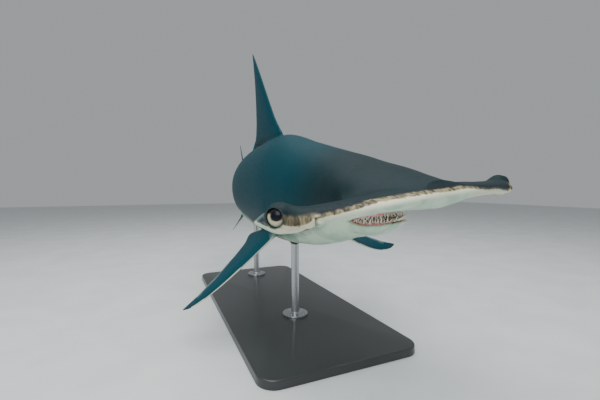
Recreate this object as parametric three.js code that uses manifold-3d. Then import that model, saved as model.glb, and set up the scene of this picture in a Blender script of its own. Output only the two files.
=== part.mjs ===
// Great hammerhead shark: a still, life-size museum model, banked to its right with its tail swung left.
// Millimetres, +Z up, with the origin in the middle of the display base's underside.
// The body is drawn straight: station s runs back from the snout, u runs to the animal's left and v runs up
// from its middle line. place() then bends and banks each point along the line that the shark swims.

import * as THREE from 'three';
import { mergeVertices } from 'three/addons/utils/BufferGeometryUtils.js';
import Module from 'manifold-3d';

const wasm = await Module();
wasm.setup();

// Gap between pieces that touch, and how near two points of one geometry are the same
const GAP = 0.3;
const MERGE_DISTANCE = 1e-4;

// The line that the shark swims: station and heading, in degrees from +Y toward +X
const SWIM_LINE = [[0, -9.0], [400, -7.4], [850, 0], [1450, 4.2], [2050, 10.0], [2450, 27.6], [3400, 39.1]];
const BANK_LINE = [[250, 4.9], [850, 9.1]];
const CLIMB = THREE.MathUtils.degToRad(0.7);
const BEND_SMOOTHING = 200;
const SPINE_STEP = 10;
const TOTAL_LENGTH = 3400;
const DORSAL_STATION = 850;
const DORSAL_STATION_AT = new THREE.Vector3(-40, -300, 640);

// Trunk: station, top, bottom, half width and the height where it is widest
const TRUNK = [
  [60, 38, -18, 70, 4],
  [120, 62, -32, 126, 6],
  [200, 88, -50, 158, 8],
  [270, 107, -78, 164, 4],
  [340, 130, -130, 158, -6],
  [400, 146, -160, 154, -14],
  [480, 167, -186, 157, -22],
  [600, 199, -211, 169, -30],
  [850, 258, -231, 184, -36],
  [1200, 246, -225, 182, -30],
  [1700, 200, -176, 144, -14],
  [2040, 154, -116, 94, 4],
  [2250, 116, -76, 62, 12],
  [2400, 88, -54, 41, 14],
  [2470, 96, -34, 33, 30],
  [2560, 132, 30, 20, 80],
];
const TRUNK_RING_POINTS = 26;
const TRUNK_SECTION_LENGTH = 70;
const BACK_TAPER = 1.1;
const BELLY_TAPER = 0.9;

// Head blade, half of it: leading edge s and u, trailing edge s and u, half thickness, and the heights of
// both edges
const BLADE = [
  [14, 0, 236, 0, 29, 7, 2],
  [7, 70, 236, 70, 27, 8, 2],
  [6, 150, 226, 150, 24, 7, 1],
  [15, 225, 199, 230, 21, 4, -1],
  [32, 300, 187, 305, 21, 0, -4],
  [48, 356, 190, 362, 22, -3, -9],
  [59, 384, 196, 388, 26.5, -7, -11],
  [68, 402, 203, 406, 28.5, -8, -14],
  [86, 428, 218, 432, 27, -6, -18],
  [100, 440, 212, 441, 20, -3, -18],
  [122, 448, 190, 449, 8, -4, -14],
];
const WING_CUT = 200;
const WING_CUT_STATION = 100;

// Lower jaw: station, half width, depth below the rim
const JAW = [
  [182, 24, 5],
  [190, 42, 11],
  [206, 60, 22],
  [240, 82, 39],
  [284, 101, 56],
  [340, 116, 72],
  [400, 128, 86],
];
const JAW_RIM = [[178, -78], [206, -82], [240, -83], [262, -80], [292, -72], [340, -72], [420, -76]];
const PALATE = [[150, -28], [200, -42], [260, -58], [292, -71.5], [340, -71.5]];
const JAW_TOP_DEPTH = 24;
const JAW_RING_POINTS = 20;
const JAW_RING_SPACING = 12;
const JAW_CUT_HALF_WIDTH = 215;
const MOUTH_START = 150;
const MOUTH_STEPS = 12;
const LIP_WIDTH = 6;
const MOUTH_HOLLOW = { at: [268, 0, -80], radii: [54, 70, 20], sides: 16 };

// Teeth, set along both jaws from corner to corner. Those at the corners are smaller.
const TOOTH_COUNT = 22;
const TOOTH_WIDTH = 11;
const TOOTH_HEIGHT = 13;
const TOOTH_THICKNESS = 5;
const TOOTH_ROOT = 5;
const TOOTH_SIDES = 4;
const TOOTH_INSET = 7;
const TOOTH_ARCH = { front: 205, depth: 64, spread: 3.2 };
const TOOTH_SHRINK = 0.45;
const TOOTH_TURN = Math.PI / 3;

// Eyes at the outer ends of the head, looking out and forward
const EYE_AT = [116, 427, 1];
const EYE_RADIUS = 25;
const EYE_FORWARD = THREE.MathUtils.degToRad(30);
const EYE_SIDES = 20;
const LID_RADIUS = 22;
const LID_THICKNESS = 3.2;
const LID_AHEAD = 14;
const LID_SIDES = 6;

// Nostrils, each with a groove that runs inward along the leading edge
const NOSTRIL_U = 375;
const NOSTRIL_DEPTH = 16;
const NOSTRIL_WIDTH = 9;
const NOSTRIL_LOW = -24;
const NOSTRIL_HIGH = -2;
const GROOVE_END_U = 250;
const GROOVE_LOW = -14;
const GROOVE_HIGH = -10;
const GROOVE_DEPTH = 4;
const CUT_AHEAD = 12;

// Gill slits: the first one's station, their spacing, the angles of their lower and upper ends, their size.
// Each slit ends a little higher than the one before, bows back in its middle and narrows toward its ends.
const GILL_COUNT = 5;
const GILL_FIRST = 556;
const GILL_SPACING = 48;
const GILL_LOW = -52;
const GILL_HIGH = -2;
const GILL_RISE = 3;
const GILL_BOW = 16;
const GILL_WIDTH = 4;
const GILL_DEPTH = 9;
const GILL_PROUD = 6;
const GILL_END_SHARE = 0.15;
const GILL_STEPS = 8;

// Where the straight body is parted, and how far the cutting blocks reach
const HEAD_END = 340;
const NECK_END = 790;
const TORSO_END = 1950;
const TAIL_END = 2440;
const HEAD_START = -100;
const CUT_REACH = 1200;

// Fins: each rib runs from its leading edge to its trailing edge, in the fin's own plane.
// Its numbers are the leading point, the trailing point and the thickness.
const FIRST_DORSAL = [
  [846, 205, 1200, 196, 50, 0, 0],
  [870, 262, 1228, 240, 42, 0, -2],
  [898, 296, 1325, 268, 34, 0, -8],
  [936, 345, 1268, 318, 29, 0, -10],
  [984, 424, 1218, 400, 24, 2, -8],
  [1036, 514, 1194, 498, 19, 5, -2],
  [1092, 606, 1184, 594, 14, 9, 5],
  [1150, 688, 1188, 680, 9, 14, 12],
  [1190, 735, 1201, 729, 4, 18, 18],
];
const SECOND_DORSAL = [
  [2030, 110, 2222, 88, 24],
  [2044, 156, 2240, 124, 20],
  [2056, 176, 2322, 142, 15],
  [2080, 214, 2206, 192, 12],
  [2112, 262, 2172, 246, 9],
  [2148, 314, 2170, 304, 6],
  [2172, 350, 2178, 346, 3.5],
];
const ANAL = [
  [2078, -66, 2262, -42, 22],
  [2088, -110, 2280, -78, 18],
  [2104, -136, 2356, -96, 13],
  [2136, -172, 2252, -142, 10],
  [2176, -214, 2226, -194, 7],
  [2222, -256, 2230, -248, 3.5],
];
const PECTORAL = [
  [742, -70, 900, -70, 44],
  [722, 0, 914, 2, 38],
  [726, 34, 980, 50, 30],
  [740, 96, 930, 106, 24],
  [760, 190, 902, 200, 18],
  [784, 290, 888, 298, 13],
  [816, 384, 884, 392, 9],
  [854, 452, 890, 456, 6],
  [884, 482, 893, 484, 3.5],
];
const PELVIC = [
  [1716, -45, 1800, -45, 22],
  [1706, 0, 1812, 4, 18],
  [1716, 26, 1882, 38, 13],
  [1746, 74, 1836, 80, 10],
  [1790, 128, 1838, 132, 7],
  [1842, 176, 1850, 178, 3.5],
];
const CAUDAL_UPPER = [
  [2370, 58, 2370, -26, 60],
  [2440, 92, 2444, -40, 58],
  [2540, 172, 2606, -14, 46],
  [2656, 268, 2738, 96, 36],
  [2790, 374, 2858, 236, 28],
  [2924, 474, 2972, 372, 20],
  [3056, 568, 3086, 494, 14],
  [3136, 624, 3158, 562, 10],
  [3196, 664, 3242, 600, 7],
  [3250, 702, 3262, 690, 4],
];
const CAUDAL_LOWER = [
  [2410, 12, 2580, 44, 44],
  [2428, -48, 2624, -2, 38],
  [2484, -118, 2656, -70, 28],
  [2560, -190, 2684, -146, 19],
  [2640, -254, 2706, -226, 11],
  [2716, -304, 2728, -298, 4],
];
const FIN_SETTINGS = { steps: 2, chordSteps: 6, nose: 0.28, edge: 0.14 };
const BLADE_SETTINGS = { steps: 2, chordSteps: 9, nose: 0.34, edge: 0.16 };
const PECTORAL_LEFT = { side: 1, s: 850, u: 128, v: -182, droop: 29, dip: 50, span: 480 };
const PECTORAL_RIGHT = { side: -1, s: 850, u: 156, v: -159, droop: 34.5, dip: 11, span: 480 };
const PELVIC_LEFT = { side: 1, s: 1760, u: 60, v: -150, droop: 50, dip: 0, span: 180 };
const PELVIC_RIGHT = { side: -1, s: 1760, u: 60, v: -150, droop: 50, dip: 0, span: 180 };

// Display stand: a flat base and two rods
const BASE_LENGTH = 1500;
const BASE_WIDTH = 660;
const BASE_THICKNESS = 32;
const BASE_CORNER = 70;
const BASE_CHAMFER = 5;
const BASE_CORNER_STEPS = 6;
const ROD_STATIONS = { stand_rod_front: 900, stand_rod_rear: 1720 };
const ROD_RADIUS = 19;
const FLANGE_RADIUS = 62;
const FLANGE_THICKNESS = 10;
const SADDLE_RADIUS = 46;
const SADDLE_DEPTH = 34;
const SADDLE_LIP = 8;
const ROD_SIDES = 20;

// Finishes
const BACK_SKIN = { color: 0x54696c, roughness: 0.55, metalness: 0 };
const HEAD_SKIN = { color: 0x5f7270, roughness: 0.5, metalness: 0 };
const JAW_SKIN = { color: 0xa9bbaa, roughness: 0.5, metalness: 0 };
const FIN_SKIN = { color: 0x3f595d, roughness: 0.55, metalness: 0 };
const EYE_GLOSS = { color: 0x202a31, roughness: 0.08, metalness: 0 };
const BASE_LACQUER = { color: 0x2b2d2f, roughness: 0.4, metalness: 0.1 };
const ROD_STEEL = { color: 0xb4b8ba, roughness: 0.3, metalness: 1 };

// Value at x on straight lines between stations
function alongLine(stations, x) {
  const last = stations.length - 1;
  if (x <= stations[0][0]) return stations[0][1];
  if (x >= stations[last][0]) return stations[last][1];
  const i = stations.findIndex(([at]) => at > x) - 1;
  const [[x0, y0], [x1, y1]] = [stations[i], stations[i + 1]];
  return y0 + (y1 - y0) * (x - x0) / (x1 - x0);
}

// A smooth curve through values at rising places, with no overshoot
function smoothCurve(places, values) {
  const slopes = values.map((value, i) => {
    if (i === 0 || i === values.length - 1) return null;
    const before = (value - values[i - 1]) / (places[i] - places[i - 1]);
    const after = (values[i + 1] - value) / (places[i + 1] - places[i]);
    return before * after <= 0 ? 0 : 2 * before * after / (before + after);
  });
  const last = values.length - 1;
  slopes[0] = (values[1] - values[0]) / (places[1] - places[0]);
  slopes[last] = (values[last] - values[last - 1]) / (places[last] - places[last - 1]);
  return (x) => {
    const at = THREE.MathUtils.clamp(x, places[0], places[last]);
    const next = places.findIndex((place) => place > at);
    const i = next < 0 ? last - 1 : next - 1;
    const length = places[i + 1] - places[i];
    const t = (at - places[i]) / length;
    const rise = t * t * (3 - 2 * t);
    const start = t * (1 - t) * (1 - t) * length * slopes[i];
    const end = t * t * (1 - t) * length * slopes[i + 1];
    return values[i] * (1 - rise) + values[i + 1] * rise + start - end;
  };
}

// One smooth curve for each column of a table, against its first column or its row number
function columnCurves(table, byRow = false) {
  const places = table.map((row, i) => (byRow ? i : row[0]));
  const columns = table[0].map((_, column) => table.map((row) => row[column]));
  return columns.slice(byRow ? 0 : 1).map((values) => smoothCurve(places, values));
}

// The swimming line as frames, one every SPINE_STEP
function swimFrames() {
  const frames = [];
  const place = new THREE.Vector3();
  const averaged = (line, s) => {
    const samples = [];
    for (let shift = -BEND_SMOOTHING; shift <= BEND_SMOOTHING; shift += SPINE_STEP) {
      samples.push(alongLine(line, THREE.MathUtils.clamp(s + shift, 0, TOTAL_LENGTH)));
    }
    return THREE.MathUtils.degToRad(samples.reduce((sum, value) => sum + value) / samples.length);
  };
  for (let s = 0; s <= TOTAL_LENGTH; s += SPINE_STEP) {
    const heading = averaged(SWIM_LINE, s);
    if (s > 0) {
      const middle = (heading + frames[frames.length - 1].heading) / 2;
      place.x += Math.sin(middle) * Math.cos(CLIMB) * SPINE_STEP;
      place.y += Math.cos(middle) * Math.cos(CLIMB) * SPINE_STEP;
      place.z += Math.sin(CLIMB) * SPINE_STEP;
    }
    frames.push({ heading, bank: averaged(BANK_LINE, s), place: place.clone() });
  }
  const shift = DORSAL_STATION_AT.clone().sub(frames[DORSAL_STATION / SPINE_STEP].place);
  frames.forEach((frame) => frame.place.add(shift));
  return frames;
}

const FRAMES = swimFrames();

// Position and axes of the swimming line at station s
function frameAt(s) {
  const at = THREE.MathUtils.clamp(s / SPINE_STEP, 0, FRAMES.length - 1.001);
  const i = Math.floor(at);
  const [a, b] = [FRAMES[i], FRAMES[i + 1]];
  const heading = THREE.MathUtils.lerp(a.heading, b.heading, at - i);
  const bank = THREE.MathUtils.lerp(a.bank, b.bank, at - i);
  const level = new THREE.Vector3(Math.cos(heading), -Math.sin(heading), 0);
  const back = new THREE.Vector3(Math.sin(heading), Math.cos(heading), 0);
  back.multiplyScalar(Math.cos(CLIMB)).setZ(Math.sin(CLIMB));
  const rise = new THREE.Vector3().crossVectors(level, back);
  const left = level.clone().multiplyScalar(Math.cos(bank)).addScaledVector(rise, Math.sin(bank));
  const up = rise.clone().multiplyScalar(Math.cos(bank)).addScaledVector(level, -Math.sin(bank));
  const place = a.place.clone().lerp(b.place, at - i);
  place.addScaledVector(back, s - THREE.MathUtils.clamp(s, 0, TOTAL_LENGTH));
  return { place, back, left, up };
}

// A point of the straight body, bent and banked into the pose
function place([s, u, v]) {
  const frame = frameAt(s);
  return frame.place.clone().addScaledVector(frame.left, u).addScaledVector(frame.up, v);
}

// A closed solid from points and triangles, turned right side out
function solidFrom(points, triangles) {
  const vertProperties = new Float32Array(points.flatMap((point) => point.toArray()));
  const triVerts = new Uint32Array(triangles.flat());
  const solid = new wasm.Manifold(new wasm.Mesh({ numProp: 3, vertProperties, triVerts }));
  return solid.volume() > 0 ? solid : solidFrom(points, triangles.map(([a, b, c]) => [a, c, b]));
}

// Points and triangles of a tube through equal rings, closed at both ends.
// The diagonals of each ring's second half mirror the first half, so thin fins split alike on both faces.
function loft(rings) {
  const count = rings[0].length;
  const points = rings.flat();
  const triangles = [];
  for (let ring = 0; ring + 1 < rings.length; ring++) {
    for (let i = 0; i < count; i++) {
      const [a, b] = [ring * count + i, ring * count + (i + 1) % count];
      const [c, d] = [a + count, b + count];
      triangles.push(...(i < count / 2 ? [[a, b, d], [a, d, c]] : [[a, b, c], [b, d, c]]));
    }
  }
  for (const ring of [0, rings.length - 1]) {
    const middle = new THREE.Vector3();
    rings[ring].forEach((point) => middle.addScaledVector(point, 1 / count));
    const centre = points.push(middle) - 1;
    for (let i = 0; i < count; i++) {
      const [a, b] = [ring * count + i, ring * count + (i + 1) % count];
      triangles.push(ring === 0 ? [centre, b, a] : [centre, a, b]);
    }
  }
  return { points, triangles };
}

// The same shape with each point moved out along its normal
function grown({ points, triangles }, distance) {
  const outward = solidVolume(points, triangles) > 0 ? 1 : -1;
  const normals = points.map(() => new THREE.Vector3());
  for (const [a, b, c] of triangles) {
    const edge = points[b].clone().sub(points[a]);
    const face = edge.cross(points[c].clone().sub(points[a]));
    [a, b, c].forEach((i) => normals[i].add(face));
  }
  const moved = points.map((point, i) => {
    return point.clone().addScaledVector(normals[i].normalize(), outward * distance);
  });
  return { points: moved, triangles };
}

// Signed volume inside a closed set of triangles
function solidVolume(points, triangles) {
  return triangles.reduce((sum, [a, b, c]) => {
    return sum + points[a].dot(points[b].clone().cross(points[c])) / 6;
  }, 0);
}

function asSolid({ points, triangles }) {
  return solidFrom(points, triangles);
}

// A closed solid from a three.js geometry, with each point moved by a function
function geometrySolid(geometry, move) {
  const bare = geometry.clone();
  bare.deleteAttribute('normal');
  bare.deleteAttribute('uv');
  const merged = mergeVertices(bare, MERGE_DISTANCE);
  const position = merged.attributes.position;
  const points = [];
  for (let i = 0; i < position.count; i++) {
    points.push(move(new THREE.Vector3().fromBufferAttribute(position, i)));
  }
  const index = Array.from(merged.index.array);
  const triangles = [];
  for (let i = 0; i < index.length; i += 3) {
    const corner = index.slice(i, i + 3);
    if (new Set(corner).size === 3) triangles.push(corner);
  }
  return solidFrom(points, triangles);
}

// A three.js geometry drawn in the straight body's coordinates, bent into the pose
function bentGeometry(geometry) {
  return geometrySolid(geometry, (point) => place(point.toArray()));
}

function joined(solids) {
  return solids.reduce((whole, piece) => whole.add(piece));
}

// The closed surfaces of a solid, largest first
function piecesOf(solid) {
  return solid.decompose().sort((a, b) => b.volume() - a.volume());
}

const [trunkTop, trunkBottom, trunkHalf, trunkWidest] = columnCurves(TRUNK);

// A point on the trunk's skin at an angle from the left side, through the top
function trunkPoint(s, angle, raise = 0) {
  const [across, up] = [Math.cos(angle), Math.sin(angle)];
  const reach = up > 0 ? trunkTop(s) - trunkWidest(s) : trunkWidest(s) - trunkBottom(s);
  const narrowed = Math.sign(across) * Math.abs(across) ** (up > 0 ? BACK_TAPER : BELLY_TAPER);
  return [s, (trunkHalf(s) + raise) * narrowed, trunkWidest(s) + (reach + raise) * up];
}

function trunk() {
  const rings = [];
  const [first, last] = [TRUNK[0][0], TRUNK[TRUNK.length - 1][0]];
  const count = Math.ceil((last - first) / TRUNK_SECTION_LENGTH);
  for (let i = 0; i <= count; i++) {
    const s = first + (last - first) * i / count;
    const ring = [];
    for (let k = 0; k < TRUNK_RING_POINTS; k++) {
      ring.push(place(trunkPoint(s, 2 * Math.PI * k / TRUNK_RING_POINTS)));
    }
    rings.push(ring);
  }
  return loft(rings);
}

// Share of a fin's half thickness at a chord fraction: a round nose that thins to the edge
function foilShare(fraction, nose, edge) {
  if (fraction < nose) return Math.sqrt(1 - (1 - fraction / nose) ** 2);
  const back = (fraction - nose) / (1 - nose);
  return 1 - (1 - edge) * back ** 1.5;
}

// A fin through its ribs, as rings of a loft. toBody turns a place in the fin's plane and an offset from it
// into s, u and v.
function finLoft(ribs, toBody, { steps, chordSteps, nose, edge }) {
  const curves = columnCurves(ribs, true);
  const rings = [];
  for (let i = 0; i <= (ribs.length - 1) * steps; i++) {
    const rib = curves.map((curve) => curve(i / steps));
    const [leadA, leadB, trailA, trailB, thickness, leadHeight = 0, trailHeight = 0] = rib;
    const chordPoint = (k, side) => {
      const fraction = 1 - Math.cos(Math.PI / 2 * k / chordSteps);
      const a = THREE.MathUtils.lerp(leadA, trailA, fraction);
      const b = THREE.MathUtils.lerp(leadB, trailB, fraction);
      const height = THREE.MathUtils.lerp(leadHeight, trailHeight, fraction);
      return place(toBody(a, b, height + side * thickness / 2 * foilShare(fraction, nose, edge)));
    };
    const ring = [];
    for (let k = 0; k <= chordSteps; k++) ring.push(chordPoint(k, 1));
    for (let k = chordSteps; k > 0; k--) ring.push(chordPoint(k, -1));
    rings.push(ring);
  }
  return loft(rings);
}

const inMiddlePlane = (a, b, offset) => [a, offset, b];

// The plane of a paired fin. It droops from its root, and its front dips more and more toward its tip.
function pairedPlane(root) {
  const droop = THREE.MathUtils.degToRad(root.droop);
  return (a, b, offset) => {
    const dip = THREE.MathUtils.degToRad(root.dip * THREE.MathUtils.clamp(b / root.span, 0, 1));
    const along = a - root.s;
    const s = root.s + along * Math.cos(dip) - offset * Math.sin(dip);
    const raise = offset * Math.cos(dip) + along * Math.sin(dip);
    const u = root.u + b * Math.cos(droop) + raise * Math.sin(droop);
    return [s, root.side * u, root.v - b * Math.sin(droop) + raise * Math.cos(droop)];
  };
}

// The head blade from tip to tip
function headBlade() {
  const ribs = [];
  for (const side of [-1, 1]) {
    const half = BLADE.map(([leadS, leadU, trailS, trailU, thickness, leadHeight, trailHeight]) => {
      return [leadS, side * leadU, trailS, side * trailU, 2 * thickness, leadHeight, trailHeight];
    });
    ribs.push(...(side < 0 ? half.slice(1).reverse() : half));
  }
  return finLoft(ribs, (a, b, offset) => [a, b, offset], BLADE_SETTINGS);
}

const [jawHalf, jawDepth] = columnCurves(JAW);
const [rimHeight] = columnCurves(JAW_RIM);
const [palateHeight] = columnCurves(PALATE);

// The lower jaw: round below, flat at the rim, and sunk into the throat behind
function lowerJaw() {
  const rings = [];
  for (let s = JAW[0][0]; s <= JAW[JAW.length - 1][0]; s += JAW_RING_SPACING) {
    const ring = [];
    for (let k = 0; k < JAW_RING_POINTS; k++) {
      const angle = 2 * Math.PI * k / JAW_RING_POINTS;
      const up = Math.sin(angle);
      const height = up > 0 ? up * JAW_TOP_DEPTH : up * jawDepth(s);
      ring.push(place([s, jawHalf(s) * Math.cos(angle), rimHeight(s) + height]));
    }
    rings.push(ring);
  }
  return asSolid(loft(rings));
}

// A block of the straight body between two heights that change along it
function heightBlock(start, end, halfWidthAt, topAt, bottomAt) {
  const rings = [];
  for (let i = 0; i <= MOUTH_STEPS; i++) {
    const s = THREE.MathUtils.lerp(start, end, i / MOUTH_STEPS);
    const [half, top, bottom] = [halfWidthAt(s), topAt(s), bottomAt(s)];
    rings.push([[s, half, bottom], [s, half, top], [s, -half, top], [s, -half, bottom]].map(place));
  }
  return asSolid(loft(rings));
}

// What the open mouth takes away, with the thin cut that parts the jaw from the head
function mouthOpening() {
  const gape = heightBlock(MOUTH_START, HEAD_END, (s) => jawHalf(s) + LIP_WIDTH, palateHeight, rimHeight);
  const cutHalf = () => JAW_CUT_HALF_WIDTH;
  const parting = heightBlock(MOUTH_START, HEAD_END + GAP, cutHalf, (s) => rimHeight(s) + GAP, rimHeight);
  const { at, radii, sides } = MOUTH_HOLLOW;
  const hollow = new THREE.SphereGeometry(1, sides, sides / 2).scale(...radii).translate(...at);
  return joined([gape, parting, bentGeometry(hollow)]);
}

// One row of teeth, side 1 for the upper jaw and -1 for the lower one
function teeth(side) {
  const row = [];
  const { front, depth, spread } = TOOTH_ARCH;
  for (let i = 0; i < TOOTH_COUNT; i++) {
    const swing = THREE.MathUtils.lerp(-1, 1, (i + 0.5) / TOOTH_COUNT);
    const out = Math.abs(swing);
    const s = front + depth * out * out;
    const u = (jawHalf(s) - TOOTH_INSET) * Math.sign(swing) * Math.min(1, out * spread / (1 + out));
    const shrink = 1 - TOOTH_SHRINK * out;
    const height = (TOOTH_HEIGHT + TOOTH_ROOT) * shrink;
    const tooth = new THREE.ConeGeometry(1, 1, TOOTH_SIDES);
    tooth.scale(TOOTH_THICKNESS, height, TOOTH_WIDTH * shrink);
    tooth.translate(0, height / 2 - TOOTH_ROOT, 0);
    tooth.rotateX(-side * Math.PI / 2);
    tooth.rotateZ(swing * TOOTH_TURN);
    tooth.translate(s, u, side > 0 ? palateHeight(s) : rimHeight(s));
    row.push(bentGeometry(tooth));
  }
  return joined(row);
}

// The eyeball's middle and the way it looks, side 1 for left and -1 for right
function eyeAxis(side) {
  const look = new THREE.Vector3(-Math.sin(EYE_FORWARD), side * Math.cos(EYE_FORWARD), 0);
  return { middle: new THREE.Vector3(EYE_AT[0], side * EYE_AT[1], EYE_AT[2]), look };
}

function eyeball(side, radius) {
  const { middle } = eyeAxis(side);
  const ball = new THREE.SphereGeometry(radius, EYE_SIDES, EYE_SIDES / 2);
  return bentGeometry(ball.translate(...middle.toArray()));
}

// The raised rim of the lids round the eye
function lidRim(side) {
  const { middle, look } = eyeAxis(side);
  const profile = [];
  for (let k = 0; k <= LID_SIDES; k++) {
    const angle = 2 * Math.PI * k / LID_SIDES;
    const radius = LID_RADIUS + LID_THICKNESS * Math.cos(angle);
    profile.push(new THREE.Vector2(radius, LID_AHEAD + 2 * LID_THICKNESS * Math.sin(angle)));
  }
  const rim = new THREE.LatheGeometry(profile, EYE_SIDES);
  const turn = new THREE.Quaternion().setFromUnitVectors(new THREE.Vector3(0, 1, 0), look);
  rim.applyQuaternion(turn);
  return bentGeometry(rim.translate(...middle.toArray()));
}

// A slot that follows the trunk's skin from one angle to another
function gillSlit(index, side) {
  const rings = [];
  for (let k = 0; k <= GILL_STEPS; k++) {
    const share = k / GILL_STEPS;
    const degrees = THREE.MathUtils.lerp(GILL_LOW, GILL_HIGH + index * GILL_RISE, share);
    const angle = THREE.MathUtils.degToRad(side > 0 ? degrees : 180 - degrees);
    const middle = Math.sin(Math.PI * share);
    const s = GILL_FIRST + index * GILL_SPACING + GILL_BOW * middle;
    const depth = GILL_DEPTH * Math.max(GILL_END_SHARE, middle);
    const ring = [[-1, GILL_PROUD], [1, GILL_PROUD], [1, -depth], [-1, -depth]];
    rings.push(ring.map(([way, raise]) => place(trunkPoint(s + way * GILL_WIDTH / 2, angle, raise))));
  }
  return asSolid(loft(rings));
}

// Leading edge of the blade at u
const bladeLead = smoothCurve(BLADE.map((row) => row[1]), BLADE.map((row) => row[0]));

// The nostril's notch and its groove along the leading edge
function nostril(side) {
  const slot = (from, to, depth, low, high) => {
    const rings = [from, to].map((u) => {
      const front = bladeLead(u) - CUT_AHEAD;
      const end = bladeLead(u) + depth;
      const corners = [[front, low], [front, high], [end, high], [end, low]];
      return corners.map(([s, v]) => place([s, side * u, v]));
    });
    return asSolid(loft(rings));
  };
  const notchStart = NOSTRIL_U - NOSTRIL_WIDTH / 2;
  const notch = slot(notchStart, notchStart + NOSTRIL_WIDTH, NOSTRIL_DEPTH, NOSTRIL_LOW, NOSTRIL_HIGH);
  return notch.add(slot(GROOVE_END_U, NOSTRIL_U, GROOVE_DEPTH, GROOVE_LOW, GROOVE_HIGH));
}

const SQUARE = [[-1, -1], [1, -1], [1, 1], [-1, 1]];

// The space between two stations, as wide as the whole animal
function stationSlab(start, end) {
  const rings = [start, end].map((s) => {
    const { place: middle, left, up } = frameAt(s);
    return SQUARE.map(([across, above]) => {
      const corner = middle.clone().addScaledVector(left, across * CUT_REACH);
      return corner.addScaledVector(up, above * CUT_REACH);
    });
  });
  return asSolid(loft(rings));
}

// The space beyond a flat cut beside the head, side 1 for left and -1 for right
function wingSpace(side, cut) {
  const { place: middle, left, up, back } = frameAt(WING_CUT_STATION);
  const rings = [cut, cut + CUT_REACH].map((out) => {
    return SQUARE.map(([along, above]) => {
      const corner = middle.clone().addScaledVector(left, side * out);
      return corner.addScaledVector(back, along * CUT_REACH).addScaledVector(up, above * CUT_REACH);
    });
  });
  return asSolid(loft(rings));
}

// The base plate: a rounded rectangle with a chamfered top edge
function standBase() {
  const halfX = BASE_WIDTH / 2 - BASE_CORNER;
  const halfY = BASE_LENGTH / 2 - BASE_CORNER;
  const loop = (inset, z) => {
    const ring = [];
    const radius = BASE_CORNER - inset;
    SQUARE.forEach(([signX, signY], corner) => {
      for (let k = 0; k <= BASE_CORNER_STEPS; k++) {
        const angle = Math.PI / 2 * (corner - 2 + k / BASE_CORNER_STEPS);
        const x = signX * halfX + radius * Math.cos(angle);
        ring.push(new THREE.Vector3(x, signY * halfY + radius * Math.sin(angle), z));
      }
    });
    return ring;
  };
  const edgeTop = BASE_THICKNESS - BASE_CHAMFER;
  return asSolid(loft([loop(0, 0), loop(0, edgeTop), loop(BASE_CHAMFER, BASE_THICKNESS)]));
}

// A rod with a flange on the base and a saddle under the belly
function standRod(station) {
  const belly = place([station, 0, trunkBottom(station)]);
  const foot = BASE_THICKNESS + GAP;
  const top = belly.z + SADDLE_DEPTH;
  const profile = [
    [0, foot],
    [FLANGE_RADIUS, foot],
    [FLANGE_RADIUS, foot + FLANGE_THICKNESS],
    [ROD_RADIUS, foot + FLANGE_THICKNESS],
    [ROD_RADIUS, belly.z - SADDLE_DEPTH],
    [SADDLE_RADIUS, belly.z - SADDLE_LIP],
    [SADDLE_RADIUS, top],
    [0, top],
  ].map(([radius, z]) => new THREE.Vector2(radius, z));
  const lathe = new THREE.LatheGeometry(profile, ROD_SIDES);
  lathe.rotateX(Math.PI / 2);
  lathe.translate(belly.x, belly.y, 0);
  return geometrySolid(lathe, (point) => point);
}

const model = new THREE.Group();

// A node's mesh, from the largest closed surface of its solid
function addNode(name, solid, finish) {
  const { vertProperties, triVerts } = piecesOf(solid)[0].getMesh();
  const geometry = new THREE.BufferGeometry();
  geometry.setAttribute('position', new THREE.BufferAttribute(new Float32Array(vertProperties), 3));
  geometry.setIndex(new THREE.BufferAttribute(new Uint32Array(triVerts), 1));
  geometry.computeVertexNormals();
  const mesh = new THREE.Mesh(geometry, new THREE.MeshStandardMaterial(finish));
  mesh.name = name;
  model.add(mesh);
}

const SIDES = { left: 1, right: -1 };

// The whole head and trunk
const trunkShape = trunk();
const trunkClear = asSolid(grown(trunkShape, GAP));
let body = joined([asSolid(trunkShape), asSolid(headBlade()), lowerJaw()]);
for (const side of Object.values(SIDES)) {
  body = body.add(lidRim(side)).subtract(eyeball(side, EYE_RADIUS + GAP)).subtract(nostril(side));
  for (let i = 0; i < GILL_COUNT; i++) body = body.subtract(gillSlit(i, side));
}
body = body.subtract(mouthOpening());

const front = body.intersect(stationSlab(HEAD_START, HEAD_END));
let middleHead = front;
for (const [name, side] of Object.entries(SIDES)) {
  addNode(`head_wing_${name}`, front.intersect(wingSpace(side, WING_CUT + GAP)), HEAD_SKIN);
  middleHead = middleHead.subtract(wingSpace(side, WING_CUT));
  addNode(`eye_${name}`, eyeball(side, EYE_RADIUS), EYE_GLOSS);
}
const [upperHead, jaw] = piecesOf(middleHead);
addNode('head', upperHead.add(teeth(1)), HEAD_SKIN);
addNode('lower_jaw', jaw.add(teeth(-1)), JAW_SKIN);

addNode('neck', body.intersect(stationSlab(HEAD_END + GAP, NECK_END)), BACK_SKIN);
addNode('torso', body.intersect(stationSlab(NECK_END + GAP, TORSO_END)), BACK_SKIN);
addNode('tail_stock', body.intersect(stationSlab(TORSO_END + GAP, TAIL_END)), BACK_SKIN);

// Fins in the middle plane
const middleFins = { dorsal_fin_first: FIRST_DORSAL, dorsal_fin_second: SECOND_DORSAL, anal_fin: ANAL };
for (const [name, ribs] of Object.entries(middleFins)) {
  addNode(name, asSolid(finLoft(ribs, inMiddlePlane, FIN_SETTINGS)).subtract(trunkClear), FIN_SKIN);
}

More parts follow.
